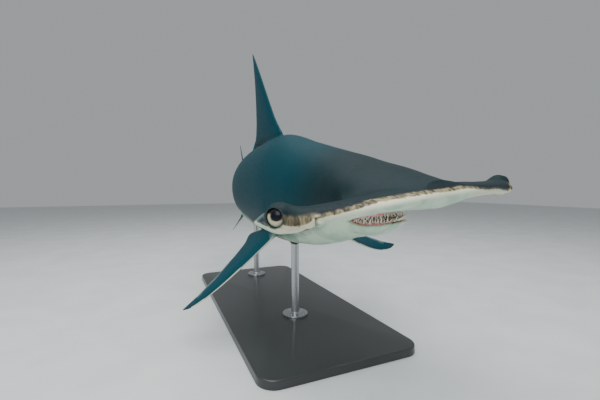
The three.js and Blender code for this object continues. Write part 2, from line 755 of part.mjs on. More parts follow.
// Paired fins
const pairedFins = {
  pectoral_fin_left: [PECTORAL, PECTORAL_LEFT],
  pectoral_fin_right: [PECTORAL, PECTORAL_RIGHT],
  pelvic_fin_left: [PELVIC, PELVIC_LEFT],
  pelvic_fin_right: [PELVIC, PELVIC_RIGHT],
};
for (const [name, [ribs, root]] of Object.entries(pairedFins)) {
  const fin = asSolid(finLoft(ribs, pairedPlane(root), FIN_SETTINGS));
  addNode(name, fin.subtract(trunkClear), FIN_SKIN);
}

// Tail fin
const tailSpace = stationSlab(TAIL_END + GAP, TOTAL_LENGTH);
const upperLobe = finLoft(CAUDAL_UPPER, inMiddlePlane, FIN_SETTINGS);
const upperSolid = asSolid(upperLobe).add(asSolid(trunkShape)).intersect(tailSpace);
const upperClear = asSolid(grown(upperLobe, GAP)).add(trunkClear);
const lowerLobe = asSolid(finLoft(CAUDAL_LOWER, inMiddlePlane, FIN_SETTINGS)).intersect(tailSpace);
addNode('caudal_fin_upper', upperSolid, FIN_SKIN);
addNode('caudal_fin_lower', lowerLobe.subtract(upperClear), FIN_SKIN);

// Stand
addNode('stand_base', standBase(), BASE_LACQUER);
for (const [name, station] of Object.entries(ROD_STATIONS)) {
  addNode(name, standRod(station).subtract(trunkClear), ROD_STEEL);
}

export default model;
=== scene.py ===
"""Looks of a great hammerhead shark, a still, life-size display model on its stand.

The body is drawn straight, in millimetres: station s runs back from the snout, u runs to the animal's left
and v runs up from its middle line. SwimLine then bends and banks every point into the pose, in metres.
"""

import logging
import math
from dataclasses import dataclass, field
from enum import Enum

import bpy
import numpy as np
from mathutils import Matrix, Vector
from mathutils.kdtree import KDTree


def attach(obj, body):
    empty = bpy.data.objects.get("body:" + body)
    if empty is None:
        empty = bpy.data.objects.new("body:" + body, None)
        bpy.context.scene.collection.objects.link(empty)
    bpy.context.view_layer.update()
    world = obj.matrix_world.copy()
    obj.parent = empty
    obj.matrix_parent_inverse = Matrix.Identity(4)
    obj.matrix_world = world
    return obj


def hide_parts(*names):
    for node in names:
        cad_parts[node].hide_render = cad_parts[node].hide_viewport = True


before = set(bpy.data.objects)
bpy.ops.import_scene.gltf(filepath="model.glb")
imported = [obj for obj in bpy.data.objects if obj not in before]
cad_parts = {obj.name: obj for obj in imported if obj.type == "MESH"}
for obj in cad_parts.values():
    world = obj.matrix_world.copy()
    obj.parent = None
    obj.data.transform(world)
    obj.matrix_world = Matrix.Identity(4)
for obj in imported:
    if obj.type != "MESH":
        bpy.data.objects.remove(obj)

LOG = logging.getLogger("hammerhead")
MM = 0.001
BODY = "root"
IMAGE_WIDTH = 600
SEED = 7
Array = np.ndarray


# Curves and fields


class SmoothCurve:
    """A smooth curve through values at rising places, with no overshoot."""

    def __init__(self, places: list[float], values: list[float]) -> None:
        """Work out the slope at each place.

        Args:
            places: Rising places along the curve.
            values: The curve's value at each place.
        """
        self.places = np.array(places, float)
        self.values = np.array(values, float)
        rise = np.diff(self.values) / np.diff(self.places)
        both = rise[:-1] + rise[1:]
        product = rise[:-1] * rise[1:]
        inner = np.where(product > 0, 2 * product / np.where(both == 0, 1, both), 0)
        self.slopes = np.concatenate([rise[:1], inner, rise[-1:]])

    def __call__(self, x: Array) -> Array:
        """Value at x, held level beyond both ends.

        Args:
            x: Places of any shape.

        Returns:
            The values, in the same shape.
        """
        at = np.clip(x, self.places[0], self.places[-1])
        i = np.clip(np.searchsorted(self.places, at, side="right") - 1, 0, len(self.places) - 2)
        length = self.places[i + 1] - self.places[i]
        t = (at - self.places[i]) / length
        rise = t * t * (3 - 2 * t)
        start = t * (1 - t) ** 2 * length * self.slopes[i]
        end = t * t * (1 - t) * length * self.slopes[i + 1]
        return self.values[i] * (1 - rise) + self.values[i + 1] * rise + start - end


def table_curves(table: tuple, key: int | None = 0) -> list[SmoothCurve]:
    """One smooth curve for each column of a table.

    Args:
        table: Rows of numbers.
        key: Column that gives the places, or None to use the row numbers.

    Returns:
        A curve for each column apart from the key.
    """
    rows = np.array(table, float)
    places = np.arange(len(rows)) if key is None else rows[:, key]
    return [SmoothCurve(places, rows[:, i]) for i in range(rows.shape[1]) if i != key]


def step_between(low: float, high: float, x: Array) -> Array:
    """Rise smoothly from 0 at low to 1 at high."""
    t = np.clip((x - low) / (high - low), 0, 1)
    return t * t * (3 - 2 * t)


def even_angles(count: int) -> Array:
    """Angles of even steps round a circle."""
    return 2 * np.pi * np.arange(count) / count


def smooth_union(a: Array, b: Array, blend: float) -> Array:
    """Join two fields, with a fillet about as wide as blend."""
    share = np.clip(0.5 + 0.5 * (b - a) / blend, 0, 1)
    return b + (a - b) * share - blend * share * (1 - share)


def smooth_cut(a: Array, b: Array, blend: float) -> Array:
    """Take the field b away from a, with its edge rounded over blend."""
    return -smooth_union(-a, b, blend)


@dataclass(frozen=True)
class SwimLine:
    """The line that the animal swims, which bends and banks the straight body."""

    headings: tuple = (
        (0, -9.0),
        (400, -7.4),
        (850, 0),
        (1450, 4.2),
        (2050, 10.0),
        (2450, 27.6),
        (3400, 39.1),
    )
    banks: tuple = ((250, 4.9), (850, 9.1))
    climb: float = math.radians(0.7)
    smoothing: int = 200
    step: int = 10
    length: int = 3400
    anchor_station: int = 850
    anchor: tuple = (-40, -300, 640)
    samples: dict = field(default_factory=dict)

    def __post_init__(self) -> None:
        """Work out heading, bank and place at each step of the line."""
        stations = np.arange(0, self.length + 1, self.step)
        heading = self.averaged(self.headings, stations)
        middle = (heading[1:] + heading[:-1]) / 2
        rise = np.full(len(middle), math.sin(self.climb))
        level = math.cos(self.climb)
        steps = np.stack([np.sin(middle) * level, np.cos(middle) * level, rise], 1) * self.step
        places = np.vstack([np.zeros(3), np.cumsum(steps, 0)])
        places += np.array(self.anchor) - places[self.anchor_station // self.step]
        bank = self.averaged(self.banks, stations)
        self.samples.update(s=stations, heading=heading, place=places, bank=bank)

    def averaged(self, line: tuple, stations: Array) -> Array:
        """A line of station and degrees, smoothed, in radians.

        Args:
            line: Rows of station and degrees.
            stations: Where to read it.

        Returns:
            The smoothed angle at each station.
        """
        shifts = np.arange(-self.smoothing, self.smoothing + 1, self.step)
        at = np.clip(stations[:, None] + shifts[None, :], 0, self.length)
        places, degrees = np.array(line, float).T
        return np.radians(np.interp(at, places, degrees).mean(1))

    def axes(self, s: Array) -> tuple[Array, Array, Array, Array]:
        """Place and axes of the line.

        Args:
            s: Stations, in millimetres.

        Returns:
            The place, and the unit vectors that point back, left and up, one row for each station.
        """
        heading = np.interp(s, self.samples["s"], self.samples["heading"])
        bank = np.interp(s, self.samples["s"], self.samples["bank"])
        place = np.stack([np.interp(s, self.samples["s"], self.samples["place"][:, i]) for i in range(3)], 1)
        zero = np.zeros_like(heading)
        level = np.stack([np.cos(heading), -np.sin(heading), zero], 1)
        ahead = np.stack([np.sin(heading), np.cos(heading), zero], 1) * math.cos(self.climb)
        back = ahead + np.array([0, 0, math.sin(self.climb)])
        rise = np.cross(level, back)
        cos_bank = np.cos(bank)[:, None]
        sin_bank = np.sin(bank)[:, None]
        left = level * cos_bank + rise * sin_bank
        up = rise * cos_bank - level * sin_bank
        beyond = s - np.clip(s, 0, self.length)
        return place + back * beyond[:, None], back, left, up

    def place(self, points: Array) -> Array:
        """Bend straight points, in millimetres, into the pose, in metres."""
        middle, _, left, up = self.axes(points[:, 0])
        return (middle + left * points[:, 1:2] + up * points[:, 2:3]) * MM

    def direction(self, s: Array, ways: Array) -> Array:
        """Unit vectors in the pose, for rows of s, u and v parts of straight directions at stations s."""
        _, back, left, up = self.axes(s)
        turned = back * ways[:, 0:1] + left * ways[:, 1:2] + up * ways[:, 2:3]
        return turned / np.linalg.norm(turned, axis=1, keepdims=True)


# Forms of the straight body


@dataclass(frozen=True)
class Trunk:
    """The trunk's sections: station, top, bottom, half width and the height where it is widest."""

    sections: tuple = (
        (60, 38, -18, 70, 4),
        (120, 62, -32, 126, 6),
        (200, 88, -50, 158, 8),
        (270, 107, -78, 164, 4),
        (340, 130, -130, 158, -6),
        (400, 146, -160, 154, -14),
        (480, 167, -186, 157, -22),
        (600, 199, -211, 169, -30),
        (850, 258, -231, 184, -36),
        (1200, 246, -225, 182, -30),
        (1700, 200, -176, 144, -14),
        (2040, 154, -116, 94, 4),
        (2250, 116, -76, 62, 12),
        (2400, 88, -54, 41, 14),
        (2470, 96, -34, 33, 30),
        (2560, 132, 30, 20, 80),
    )
    back_taper: float = 1.1
    belly_taper: float = 0.9

    def shape(self, s: Array) -> list[Array]:
        """Top, bottom, half width and widest height at stations s."""
        return [curve(s) for curve in table_curves(self.sections)]

    def surface(self, s: Array, angle: Array, raised: Array | float = 0) -> Array:
        """Points on the skin.

        Args:
            s: Stations.
            angle: Angles from the left side, through the top.
            raised: Height over the skin.

        Returns:
            Rows of s, u and v.
        """
        top, bottom, half, widest = self.shape(s)
        across, rise = np.cos(angle), np.sin(angle)
        reach = np.where(rise > 0, top - widest, widest - bottom)
        taper = np.where(rise > 0, self.back_taper, self.belly_taper)
        narrowed = np.sign(across) * np.abs(across) ** taper
        return np.stack([s, (half + raised) * narrowed, widest + (reach + raised) * rise], -1)

    def distance(self, s: Array, u: Array, v: Array) -> Array:
        """Distance out of the trunk along rays from its middle, at stations that it spans."""
        top, bottom, half, widest = self.shape(s)
        w = v - widest
        reach = np.where(w > 0, top - widest, widest - bottom)
        taper = np.where(w > 0, self.back_taper, self.belly_taper)
        swell = (np.abs(u) / half) ** (2 / taper) + (w / reach) ** 2
        ray = np.sqrt(u * u + w * w)
        return ray * (1 - 1 / np.sqrt(np.maximum(swell, 1e-3)))


@dataclass(frozen=True)
class HeadBlade:
    """Half of the head's blade: leading s and u, trailing s and u, half thickness, heights of both edges."""

    ribs: tuple = (
        (14, 0, 236, 0, 29, 7, 2),
        (7, 70, 236, 70, 27, 8, 2),
        (6, 150, 226, 150, 24, 7, 1),
        (15, 225, 199, 230, 21, 4, -1),
        (32, 300, 187, 305, 21, 0, -4),
        (48, 356, 190, 362, 22, -3, -9),
        (59, 384, 196, 388, 26.5, -7, -11),
        (68, 402, 203, 406, 28.5, -8, -14),
        (86, 428, 218, 432, 27, -6, -18),
        (100, 440, 212, 441, 20, -3, -18),
        (122, 448, 190, 449, 8, -4, -14),
        (140, 451, 172, 452, 3, -6, -12),
    )
    nose: float = 0.34
    edge: float = 0.16
    thinning: float = 1.5
    tip: float = 450.5
    tip_blend: float = 4.0
    edge_blend: float = 6.0

    def plan(self, u: Array) -> tuple[Array, Array, Array, Array, Array]:
        """Leading s, trailing s, half thickness and the heights of both edges at u."""
        rows = np.array(self.ribs, float)
        out = np.abs(u)
        lead = [SmoothCurve(rows[:, 1], rows[:, i])(out) for i in (0, 4, 5)]
        trail = [SmoothCurve(rows[:, 3], rows[:, i])(out) for i in (2, 6)]
        return lead[0], trail[0], lead[1], lead[2], trail[1]

    def middle(self, s: Array, u: Array) -> Array:
        """Height of the blade's middle surface."""
        lead, trail, _, lead_height, trail_height = self.plan(u)
        share = np.clip((s - lead) / (trail - lead), 0, 1)
        return lead_height + (trail_height - lead_height) * share

    def distance(self, s: Array, u: Array, v: Array) -> Array:
        """Distance out of the blade, about true near its skin."""
        lead, trail, half, lead_height, trail_height = self.plan(u)
        chord = (s - lead) / (trail - lead)
        share = np.clip(chord, 0, 1)
        w = v - lead_height - (trail_height - lead_height) * share
        before = np.minimum((chord - self.nose) / self.nose, 0)
        back = np.clip((chord - self.nose) / (1 - self.nose), 0, 1)
        thick = half * (1 - (1 - self.edge) * back**self.thinning)
        shell = (np.hypot(before, w / thick) - 1) * thick
        shell = smooth_cut(shell, trail - s, self.edge_blend)
        return smooth_cut(shell, self.tip - np.abs(u) + 0 * s, self.tip_blend)


@dataclass(frozen=True)
class LowerJaw:
    """The lower jaw: station, half width and depth below its rim, and the heights of rim and palate."""

    sections: tuple = (
        (176, 8, 3),
        (182, 24, 6),
        (190, 42, 11),
        (206, 60, 22),
        (240, 82, 39),
        (284, 101, 56),
        (340, 116, 72),
        (400, 128, 86),
    )
    rim: tuple = ((178, -78), (206, -82), (240, -83), (262, -80), (292, -72), (340, -72), (420, -76))
    palate: tuple = ((150, -28), (200, -42), (260, -58), (292, -71.5), (340, -71.5))
    top_depth: float = 24
    front: float = 181
    front_blend: float = 8
    fade_from: float = 330
    fade_to: float = 395
    fade_depth: float = 16

    def half(self, s: Array) -> Array:
        """Half width at stations s."""
        return table_curves(self.sections)[0](s)

    def rim_height(self, s: Array) -> Array:
        """Height of the rim."""
        return table_curves(self.rim)[0](s)

    def palate_height(self, s: Array) -> Array:
        """Height of the mouth's roof."""
        return table_curves(self.palate)[0](s)

    def distance(self, s: Array, u: Array, v: Array) -> Array:
        """Distance out of the jaw, which fades into the throat."""
        half, depth = (curve(s) for curve in table_curves(self.sections))
        w = v - self.rim_height(s)
        reach = np.where(w > 0, self.top_depth, depth)
        swell = np.hypot(u / half, w / reach)
        shell = np.hypot(u, w) * (1 - 1 / np.maximum(swell, 0.05))
        shell = shell + self.fade_depth * step_between(self.fade_from, self.fade_to, s)
        return smooth_cut(shell, s - self.front, self.front_blend)


@dataclass(frozen=True)
class EyeSeat:
    """Where an eye sits, its size, and the lids round it."""

    side: int
    middle: tuple = (116, 427, 1)
    radius: float = 25
    forward: float = math.radians(30)
    lid_radius: float = 22
    lid_rise: float = 14
    lid_thickness: float = 3.8

    @property
    def centre(self) -> Array:
        """The eyeball's middle."""
        return np.array([self.middle[0], self.side * self.middle[1], self.middle[2]], float)

    @property
    def look(self) -> Array:
        """The way that the eye looks."""
        return np.array([-math.sin(self.forward), self.side * math.cos(self.forward), 0])

    def along_and_off(self, s: Array, u: Array, v: Array) -> tuple[Array, Array]:
        """Distance along the way the eye looks, and off that line."""
        ds, du, dv = s - self.centre[0], u - self.centre[1], v - self.centre[2]
        along = ds * self.look[0] + du * self.look[1]
        off = np.sqrt(np.maximum(ds * ds + du * du + dv * dv - along * along, 0))
        return along, off


@dataclass(frozen=True)
class Nostril:
    """The notch in the leading edge, its two rounded lips and the groove that runs inward from it."""

    u: float = 375
    depth: float = 24
    width: float = 7
    flare: float = 0.4
    low: float = -42
    high: float = -3
    groove_end: float = 250
    groove_height: float = -12
    groove_radius: float = 3.4
    groove_blend: float = 3
    groove_in: float = 1
    groove_taper: float = 0.15
    flare_height: float = 8
    lip_out: float = 11
    lip_radii: tuple = (10, 9, 12)
    lip_height: float = -11
    lip_back: float = 8
    lip_blend: float = 9


@dataclass(frozen=True)
class GillSlits:
    """Five slits on each side, with the flap in front of each."""

    count: int = 5
    first: float = 556
    spacing: float = 48
    low: float = math.radians(-52)
    high: float = math.radians(6)
    bow: float = 16
    depth: float = 9
    slit_width: float = 1.9
    flap_rise: float = 3.0
    flap_ahead: float = 8.0
    flap_width: float = 8.0
    dip: float = 2.2
    closing: float = 0.6
    bow_from: tuple = (500, 545)
    bow_to: tuple = (760, 800)

    def share(self, angle: Array) -> Array:
        """Share of the way up the slits, from 0 to 1, alike on both sides."""
        folded = np.arctan2(np.sin(angle), np.abs(np.cos(angle)))
        return (folded - self.low) / (self.high - self.low)

    def taper(self, angle: Array) -> Array:
        """How open the slits are at an angle, from 0 to 1."""
        return self.arc(angle) ** self.closing

    def arc(self, angle: Array) -> Array:
        """Height of an arc over the slits' length, 0 at both ends and 1 in the middle."""
        return np.sin(np.pi * np.clip(self.share(angle), 0, 1))

    def stations(self) -> Array:
        """Middle station of each slit."""
        return self.first + self.spacing * np.arange(self.count)

    def bowed(self, s: Array, angle: Array) -> Array:
        """Shift of the body's rows that lets them run along the slits."""
        window = step_between(*self.bow_from, s) * (1 - step_between(*self.bow_to, s))
        return self.bow * self.arc(angle) * window

    def relief(self, s: Array, angle: Array) -> tuple[Array, Array]:
        """Height over the plain skin, and how deep inside a slit, for rows before their shift.

        Args:
            s: Stations before bowed() shifts them.
            angle: Angles from the left side.

        Returns:
            Height in millimetres, and a mask from 0 to 1.
        """
        taper = self.taper(angle)
        height = np.zeros_like(s)
        inside = np.zeros_like(s)
        for middle in self.stations():
            ahead = s - middle
            slit = np.exp(-((ahead / self.slit_width) ** 2))
            flap = np.exp(-(((ahead + self.flap_ahead) / self.flap_width) ** 2))
            hollow = np.exp(-(((ahead - self.flap_ahead) / self.flap_width) ** 2))
            height = height - self.depth * slit * taper
            height = height + self.flap_rise * flap * taper
            height = height - self.dip * hollow * taper
            inside = np.maximum(inside, slit * taper)
        return height, inside


@dataclass(frozen=True)
class HeadForm:
    """The head as one smooth field: blade, trunk, jaw, mouth, nostrils and the lids."""

    trunk: Trunk
    blade: HeadBlade
    jaw: LowerJaw
    nostril: Nostril
    eyes: tuple
    neck_blend: float = 38
    jaw_blend: float = 10
    lip_width: float = 6
    gape_from: float = 150
    gape_to: float = 324
    gape_blend: float = 5
    hollow_at: tuple = (268, 0, -80)
    hollow_radii: tuple = (54, 74, 24)
    lip_bead: float = 4.5
    bead_in: float = 1
    bead_drop: float = 3
    bead_front: float = 0.5
    bead_rear: float = 0.2
    lip_blend: float = 7
    orbit_radius: float = 30
    orbit_back: float = 3
    orbit_blend: float = 16
    lid_blend: float = 4
    lid_length: float = 2
    lid_depth: float = 6
    trunk_taper: float = 0.6
    socket_gap: float = 0.3
    opening: float = 20.4
    opening_blend: float = 2

    def gape(self, s: Array, u: Array, v: Array) -> Array:
        """Distance out of the open mouth."""
        roof = v - self.jaw.palate_height(s)
        floor = self.jaw.rim_height(s) - v
        beside = np.abs(u) - self.jaw.half(s) - self.lip_width
        along = np.maximum(self.gape_from - s, s - self.gape_to)
        wedge = np.maximum(np.maximum(roof, floor), np.maximum(beside, along))
        radii = self.hollow_radii
        ds, du, dv = ((x - at) / radius for x, at, radius in zip((s, u, v), self.hollow_at, radii))
        ball = np.sqrt(ds**2 + du**2 + dv**2)
        return np.minimum(wedge, (ball - 1) * radii[2])

    def with_nostrils(self, shell: Array, s: Array, u: Array, v: Array) -> Array:
        """Add the lips of both nostrils and cut their notches and grooves."""
        form = self.nostril
        out = np.abs(u)
        lead = self.blade.plan(np.array(form.u))[0]
        for way in (-1, 1):
            ds = (s - lead - form.lip_back) / form.lip_radii[0]
            du = (out - form.u - way * form.lip_out) / form.lip_radii[1]
            dv = (v - form.lip_height) / form.lip_radii[2]
            lobe = (np.sqrt(ds * ds + du * du + dv * dv) - 1) * form.lip_radii[1]
            shell = smooth_union(shell, lobe, form.lip_blend)
        wide = form.width / 2 + form.flare * np.clip(v - form.lip_height, 0, form.flare_height)
        slot = np.maximum(np.abs(out - form.u) - wide, s - lead - form.depth)
        slot = np.maximum(slot, np.maximum(form.low - v, v - form.high))
        shell = smooth_cut(shell, slot, form.groove_blend)
        here = self.blade.plan(u)[0]
        tube = np.hypot(s - here + form.groove_in, v - form.groove_height) - form.groove_radius
        ends = np.maximum(form.groove_end - out, out - form.u)
        return smooth_cut(shell, np.maximum(tube, ends * form.groove_taper), form.groove_blend)

    def with_lids(self, shell: Array, s: Array, u: Array, v: Array) -> Array:
        """Swell the skin round each eye, raise the lids and open the socket."""
        for eye in self.eyes:
            along, off = eye.along_and_off(s, u, v)
            orbit = np.hypot(along + self.orbit_back, off) - self.orbit_radius
            shell = smooth_union(shell, orbit, self.orbit_blend)
            over = (along - eye.lid_rise) / self.lid_length
            rim = np.hypot(off - eye.lid_radius, over) - eye.lid_thickness
            shell = smooth_union(shell, rim, self.lid_blend)
            shell = np.maximum(shell, eye.radius + self.socket_gap - np.hypot(along, off))
            hole = np.maximum(off - self.opening, eye.lid_rise - self.lid_depth - along)
            shell = smooth_cut(shell, hole, self.opening_blend)
        return shell

    def distance(self, s: Array, u: Array, v: Array) -> Array:
        """Distance out of the head's skin.

        Args:
            s: Stations.
            u: Places to the animal's left.
            v: Heights.

        Returns:
            The field, negative inside.
        """
        shell = smooth_union(self.blade.distance(s, u, v), self.trunk_part(s, u, v), self.neck_blend)
        jaw = self.jaw.distance(s, u, v)
        shell = smooth_union(shell, jaw, self.jaw_blend)
        outside = np.abs(u) - self.jaw.half(s) + self.bead_in
        above = v - self.jaw.rim_height(s) + self.bead_drop
        bead = np.hypot(outside, above) - self.lip_bead
        bead = np.maximum(bead, (self.jaw.front - s) * self.bead_front)
        bead = np.maximum(bead, (s - self.jaw.fade_from) * self.bead_rear)
        shell = smooth_union(shell, bead, self.lip_blend)
        shell = smooth_cut(shell, self.gape(s, u, v), self.gape_blend)
        shell = self.with_nostrils(shell, s, u, v)
        return self.with_lids(shell, s, u, v)

    def trunk_part(self, s: Array, u: Array, v: Array) -> Array:
        """Distance out of the trunk, closed in front of its first section."""
        first = self.trunk.sections[0][0]
        return np.maximum(self.trunk.distance(s, u, v), (first - s) * self.trunk_taper)


# Fins


@dataclass(frozen=True)
class Fin:
    """A fin through its ribs: leading place, trailing place, thickness and sideways lean of both edges."""

    name: str
    ribs: tuple
    spacing: float = 8.0
    chord_steps: int = 13
    nose: float = 0.28
    edge: float = 0.14
    thinning: float = 1.5

    def to_body(self, a: Array, b: Array, offset: Array) -> Array:
        """Points of the straight body for places in the fin's plane and offsets from it."""
        return np.stack([a, offset, b], -1)

    def from_body(self, points: Array) -> tuple[Array, Array, Array]:
        """Place in the fin's plane and offset from it, for points of the straight body."""
        return points[:, 0], points[:, 2], points[:, 1]

    def shell(self) -> "Shell":
        """The fin as a closed tube of rings from root to tip."""
        curves = table_curves(self.ribs, None)
        rows = np.array(self.ribs, float)
        reach = np.abs(np.diff(rows[:, 1])).sum()
        places = np.linspace(0, len(rows) - 1, int(reach / self.spacing) + 2)
        places = places[:, None]
        chord = 1 - np.cos(np.pi / 2 * np.arange(self.chord_steps + 1) / self.chord_steps)
        fraction = np.concatenate([chord, chord[:0:-1]])[None, :]
        side = np.concatenate([np.ones(self.chord_steps + 1), -np.ones(self.chord_steps)])[None, :]
        values = [curve(places) for curve in curves]
        lead_a, lead_b, trail_a, trail_b, thickness = values[:5]
        lead_lean, trail_lean = values[5:] if len(values) > 5 else (0, 0)
        nose = np.sqrt(np.maximum(1 - (1 - np.minimum(fraction / self.nose, 1)) ** 2, 0))
        back = np.clip((fraction - self.nose) / (1 - self.nose), 0, 1)
        share = nose * (1 - (1 - self.edge) * back**self.thinning)
        a = lead_a + (trail_a - lead_a) * fraction
        b = lead_b + (trail_b - lead_b) * fraction
        offset = lead_lean + (trail_lean - lead_lean) * fraction + side * thickness / 2 * share
        return Shell.tube(self.to_body(a, b, offset))


@dataclass(frozen=True)
class PairedFin(Fin):
    """A fin on one side, which droops from its root and dips its front more and more toward its tip."""

    side: int = 1
    root: tuple = (850, 146, -165)
    droop: float = 30
    dip: float = 10
    span: float = 480

    def to_body(self, a: Array, b: Array, offset: Array) -> Array:
        """Points of the straight body for places in the fin's plane and offsets from it."""
        droop = math.radians(self.droop)
        dip = np.radians(self.dip * np.clip(b / self.span, 0, 1))
        along = a - self.root[0]
        s = self.root[0] + along * np.cos(dip) - offset * np.sin(dip)
        raised = offset * np.cos(dip) + along * np.sin(dip)
        u = self.root[1] + b * math.cos(droop) + raised * math.sin(droop)
        v = self.root[2] - b * math.sin(droop) + raised * math.cos(droop)
        return np.stack([s, self.side * u, v], -1)

    def from_body(self, points: Array) -> tuple[Array, Array, Array]:
        """Place in the fin's plane and offset from it, for points of the straight body."""
        droop = math.radians(self.droop)
        out = points[:, 1] * self.side - self.root[1]
        drop = points[:, 2] - self.root[2]
        b = out * math.cos(droop) - drop * math.sin(droop)
        raised = out * math.sin(droop) + drop * math.cos(droop)
        dip = np.radians(self.dip * np.clip(b / self.span, 0, 1))
        back = points[:, 0] - self.root[0]
        along = back * np.cos(dip) + raised * np.sin(dip)
        return self.root[0] + along, b, raised * np.cos(dip) - back * np.sin(dip)


FIRST_DORSAL = (
    (846, 205, 1200, 196, 50, 0, 0),
    (870, 262, 1228, 240, 42, 0, -2),
    (898, 296, 1325, 268, 34, 0, -8),
    (936, 345, 1268, 318, 29, 0, -10),
    (984, 424, 1218, 400, 24, 2, -8),
    (1036, 514, 1194, 498, 19, 5, -2),
    (1092, 606, 1184, 594, 14, 9, 5),
    (1150, 688, 1188, 680, 9, 14, 12),
    (1190, 735, 1201, 729, 4, 18, 18),
)
SECOND_DORSAL = (
    (2030, 110, 2222, 88, 24),
    (2044, 156, 2240, 124, 20),
    (2056, 176, 2322, 142, 15),
    (2080, 214, 2206, 192, 12),
    (2112, 262, 2172, 246, 9),
    (2148, 314, 2170, 304, 6),
    (2172, 350, 2178, 346, 3.5),
)
ANAL = (
    (2078, -66, 2262, -42, 22),
    (2088, -110, 2280, -78, 18),
    (2104, -136, 2356, -96, 13),
    (2136, -172, 2252, -142, 10),
    (2176, -214, 2226, -194, 7),
    (2222, -256, 2230, -248, 3.5),
)
PECTORAL = (
    (742, -70, 900, -70, 44),
    (722, 0, 914, 2, 38),
    (726, 34, 980, 50, 30),
    (740, 96, 930, 106, 24),
    (760, 190, 902, 200, 18),
    (784, 290, 888, 298, 13),
    (816, 384, 884, 392, 9),
    (854, 452, 890, 456, 6),
    (884, 482, 893, 484, 3.5),
)
PELVIC = (
    (1716, -45, 1800, -45, 22),
    (1706, 0, 1812, 4, 18),
    (1716, 26, 1882, 38, 13),
    (1746, 74, 1836, 80, 10),
    (1790, 128, 1838, 132, 7),
    (1842, 176, 1850, 178, 3.5),
)
CAUDAL_UPPER = (
    (2370, 58, 2370, -26, 60),
    (2440, 92, 2444, -40, 58),
    (2540, 172, 2606, -14, 46),
    (2656, 268, 2738, 96, 36),
    (2790, 374, 2858, 236, 28),
    (2924, 474, 2972, 372, 20),
    (3056, 568, 3086, 494, 14),
    (3136, 624, 3158, 562, 10),
    (3196, 664, 3242, 600, 7),
    (3250, 702, 3262, 690, 4),
)
CAUDAL_LOWER = (
    (2410, 12, 2580, 44, 44),
    (2428, -48, 2624, -2, 38),
    (2484, -118, 2656, -70, 28),
    (2560, -190, 2684, -146, 19),
    (2640, -254, 2706, -226, 11),
    (2716, -304, 2728, -298, 4),
)


def all_fins() -> list[Fin]:
    """Every fin of the animal."""
    fins = [
        Fin("first dorsal fin", FIRST_DORSAL),
        Fin("second dorsal fin", SECOND_DORSAL),
        Fin("anal fin", ANAL),
        Fin("upper tail lobe", CAUDAL_UPPER),
        Fin("lower tail lobe", CAUDAL_LOWER),
        PairedFin("left pectoral fin", PECTORAL, side=1, root=(850, 128, -182), droop=29, dip=50),
        PairedFin("right pectoral fin", PECTORAL, side=-1, root=(850, 156, -159), droop=34.5, dip=11),
    ]
    pelvic = {"root": (1760, 60, -150), "droop": 50, "dip": 0, "span": 180}
    for side, word in ((1, "left"), (-1, "right")):
        fins.append(PairedFin(f"{word} pelvic fin", PELVIC, side=side, **pelvic))
    return fins


# Shells of points and faces


